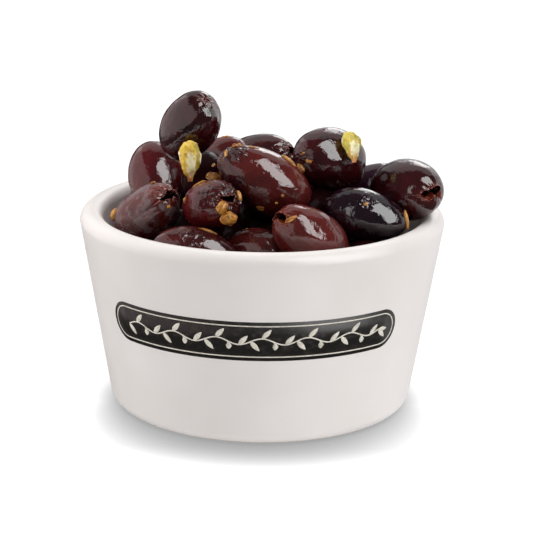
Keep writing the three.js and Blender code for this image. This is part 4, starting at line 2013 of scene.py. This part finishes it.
@dataclass(frozen=True)
class Studio:
    """A pale floor, soft lamps and the camera."""

    aim: tuple[float, float, float] = (1.35, 0.0, 37.42)
    elevation: float = 16.05  # of the camera, in degrees
    distance: float = 620.6
    roll: float = 0.768  # degrees
    focal: float = 151.3
    sensor: float = 36.0
    floor_side: float = 9000.0
    floor_glow: float = 1.15
    shade_reach: tuple[float, float] = (17.0, 6.0)  # of the dish's shade, in front and beside it
    shade_y: tuple[float, float] = (-42.0, -8.0)  # where the floor is in front and beside
    shade_side: tuple[float, float, float] = (0.12, 0.8, 0.58)  # the dish dims the floor opposite
    shade_power: float = 1.5
    shade_least: float = 0.25  # what is left of the glow in the deepest shade
    room_light: tuple[float, float] = (0.44, 0.07)  # on surfaces, and in what they mirror

    # Name, use, azimuth, elevation, width, height, radiance and, where it isn't white, colour.
    panels: tuple[Panel, ...] = (
        Panel("right_window", Sees.REFLECTION, 52, 37, 640, 1160, 4.5),
        Panel("rear_window", Sees.REFLECTION, 167, 27, 260, 420, 2.4),
        Panel("left_wall", Sees.REFLECTION, -86, 15, 3800, 1300, 0.68, WARM, SCREENED),
        Panel(
            "left_card", Sees.REFLECTION, -112, 15, 850, 1300, 0.66, WARM, only=("drenched_olives",)
        ),
        Panel("left_window", Sees.REFLECTION, -32, 20, 210, 480, 1.7, only=SCREENED),
        Panel("right_card", Sees.REFLECTION, 106, -12, 1000, 2200, 1.2, only=(CROWNING_PIECE,)),
        Panel("rear_wall", Sees.REFLECTION, 178, 44, 1500, 1000, 0.45),
        Panel("back_wall", Sees.REFLECTION, 142, -6, 1700, 1200, 0.7),
        Panel("left_lamp", Sees.LIGHT, -100, 20, 900, 800, 3.1),
        Panel("right_lamp", Sees.LIGHT, 72, 34, 900, 800, 1.8),
        Panel("top_lamp", Sees.LIGHT, 170, 78, 1400, 1400, 1.1),
        Panel("table_lamp", Sees.LIGHT, 20, -50, 1200, 1200, 1.35),
    )

    def camera(self) -> None:
        """Sets up the camera."""
        way = heading(-90, self.elevation)
        right, up = np.array([1.0, 0, 0]), np.cross(way, np.array([1.0, 0, 0]))
        turn = math.radians(self.roll)
        across = right * math.cos(turn) + up * math.sin(turn)
        above = up * math.cos(turn) - right * math.sin(turn)
        data = bpy.data.cameras.new("camera")
        data.sensor_width, data.lens = self.sensor, self.focal
        data.clip_start, data.clip_end = 0.01, 100.0
        camera = bpy.data.objects.new("camera", data)
        matrix = Matrix(np.stack([across, above, way], -1).tolist()).to_4x4()
        matrix.translation = ((np.array(self.aim) + way * self.distance) * MM).tolist()
        camera.matrix_world = matrix
        bpy.context.scene.collection.objects.link(camera)
        bpy.context.scene.camera = camera

    def floor(self) -> None:
        """Lays the floor."""
        side = self.floor_side / 2 * MM
        mesh = bpy.data.meshes.new("floor")
        corners = [(-side, -side, 0), (side, -side, 0), (side, side, 0), (-side, side, 0)]
        mesh.from_pydata(corners, [], [(0, 1, 2, 3)])
        # White acrylic lit from below, with the dish's shadow painted into its glow where the dish
        # stands close over it.
        material, tree = new_material("backlit_floor_painted_shadow")
        opposite = add_node(tree, "ShaderNodeCombineXYZ", self.shade_side)
        place = add_node(tree, SURFACE).outputs["Object"]
        depth = add_node(tree, SPLIT, (place,)).outputs["Y"]
        ranges = [length * MM for length in (*self.shade_y, *self.shade_reach)]
        reach = add_node(tree, RANGE, (depth, *ranges))
        inputs = {"Distance": reach, "Normal": opposite}
        near = add_node(tree, "ShaderNodeAmbientOcclusion", inputs).outputs["AO"]
        dimmed = add_node(tree, "ShaderNodeMath", (near, self.shade_power), operation="POWER")
        glows = (self.shade_least * self.floor_glow, self.floor_glow)
        strength = add_node(tree, RANGE, (dimmed, 0.0, 1.0, *glows))
        glow = add_node(tree, "ShaderNodeEmission", (linear("#ffffff"), strength))
        add_node(tree, OUTPUT, (glow,))
        mesh.materials.append(material)
        plane = bpy.data.objects.new("floor", mesh)
        plane.visible_glossy = plane.visible_diffuse = plane.visible_shadow = False
        bpy.context.scene.collection.objects.link(plane)

    def world(self) -> None:
        """Fills the room with soft light: brighter for what it lights than in reflections."""
        world = bpy.data.worlds.new("room")
        world.use_nodes = True
        tree = world.node_tree
        tree.nodes.clear()
        mirrored = add_node(tree, "ShaderNodeLightPath").outputs["Is Glossy Ray"]
        strength = add_node(tree, RANGE, (mirrored, 0.0, 1.0, *self.room_light))
        back = add_node(tree, "ShaderNodeBackground", (linear("#ffffff"), strength))
        add_node(tree, "ShaderNodeOutputWorld", (back,))
        bpy.context.scene.world = world

    def build(self) -> None:
        """Sets up everything round the dish."""
        self.camera()
        self.floor()
        self.world()
        for panel in self.panels:
            panel.build(np.array(self.aim))
        bpy.context.scene.view_settings.view_transform = "Standard"


def main() -> None:
    """Builds the studio, the dish and what is in it."""
    logging.basicConfig(level=logging.INFO, format="%(message)s")
    studio = Studio()
    studio.build()
    dish = Dish()
    dish.build()
    Band(dish).build()
    heap = Heap(dish)
    heap.build()
    SpiceMix(heap).build()
    for pod in PODS:
        pod.build()
    for panel in studio.panels:
        panel.narrow()


if __name__ == "__main__":
    main()
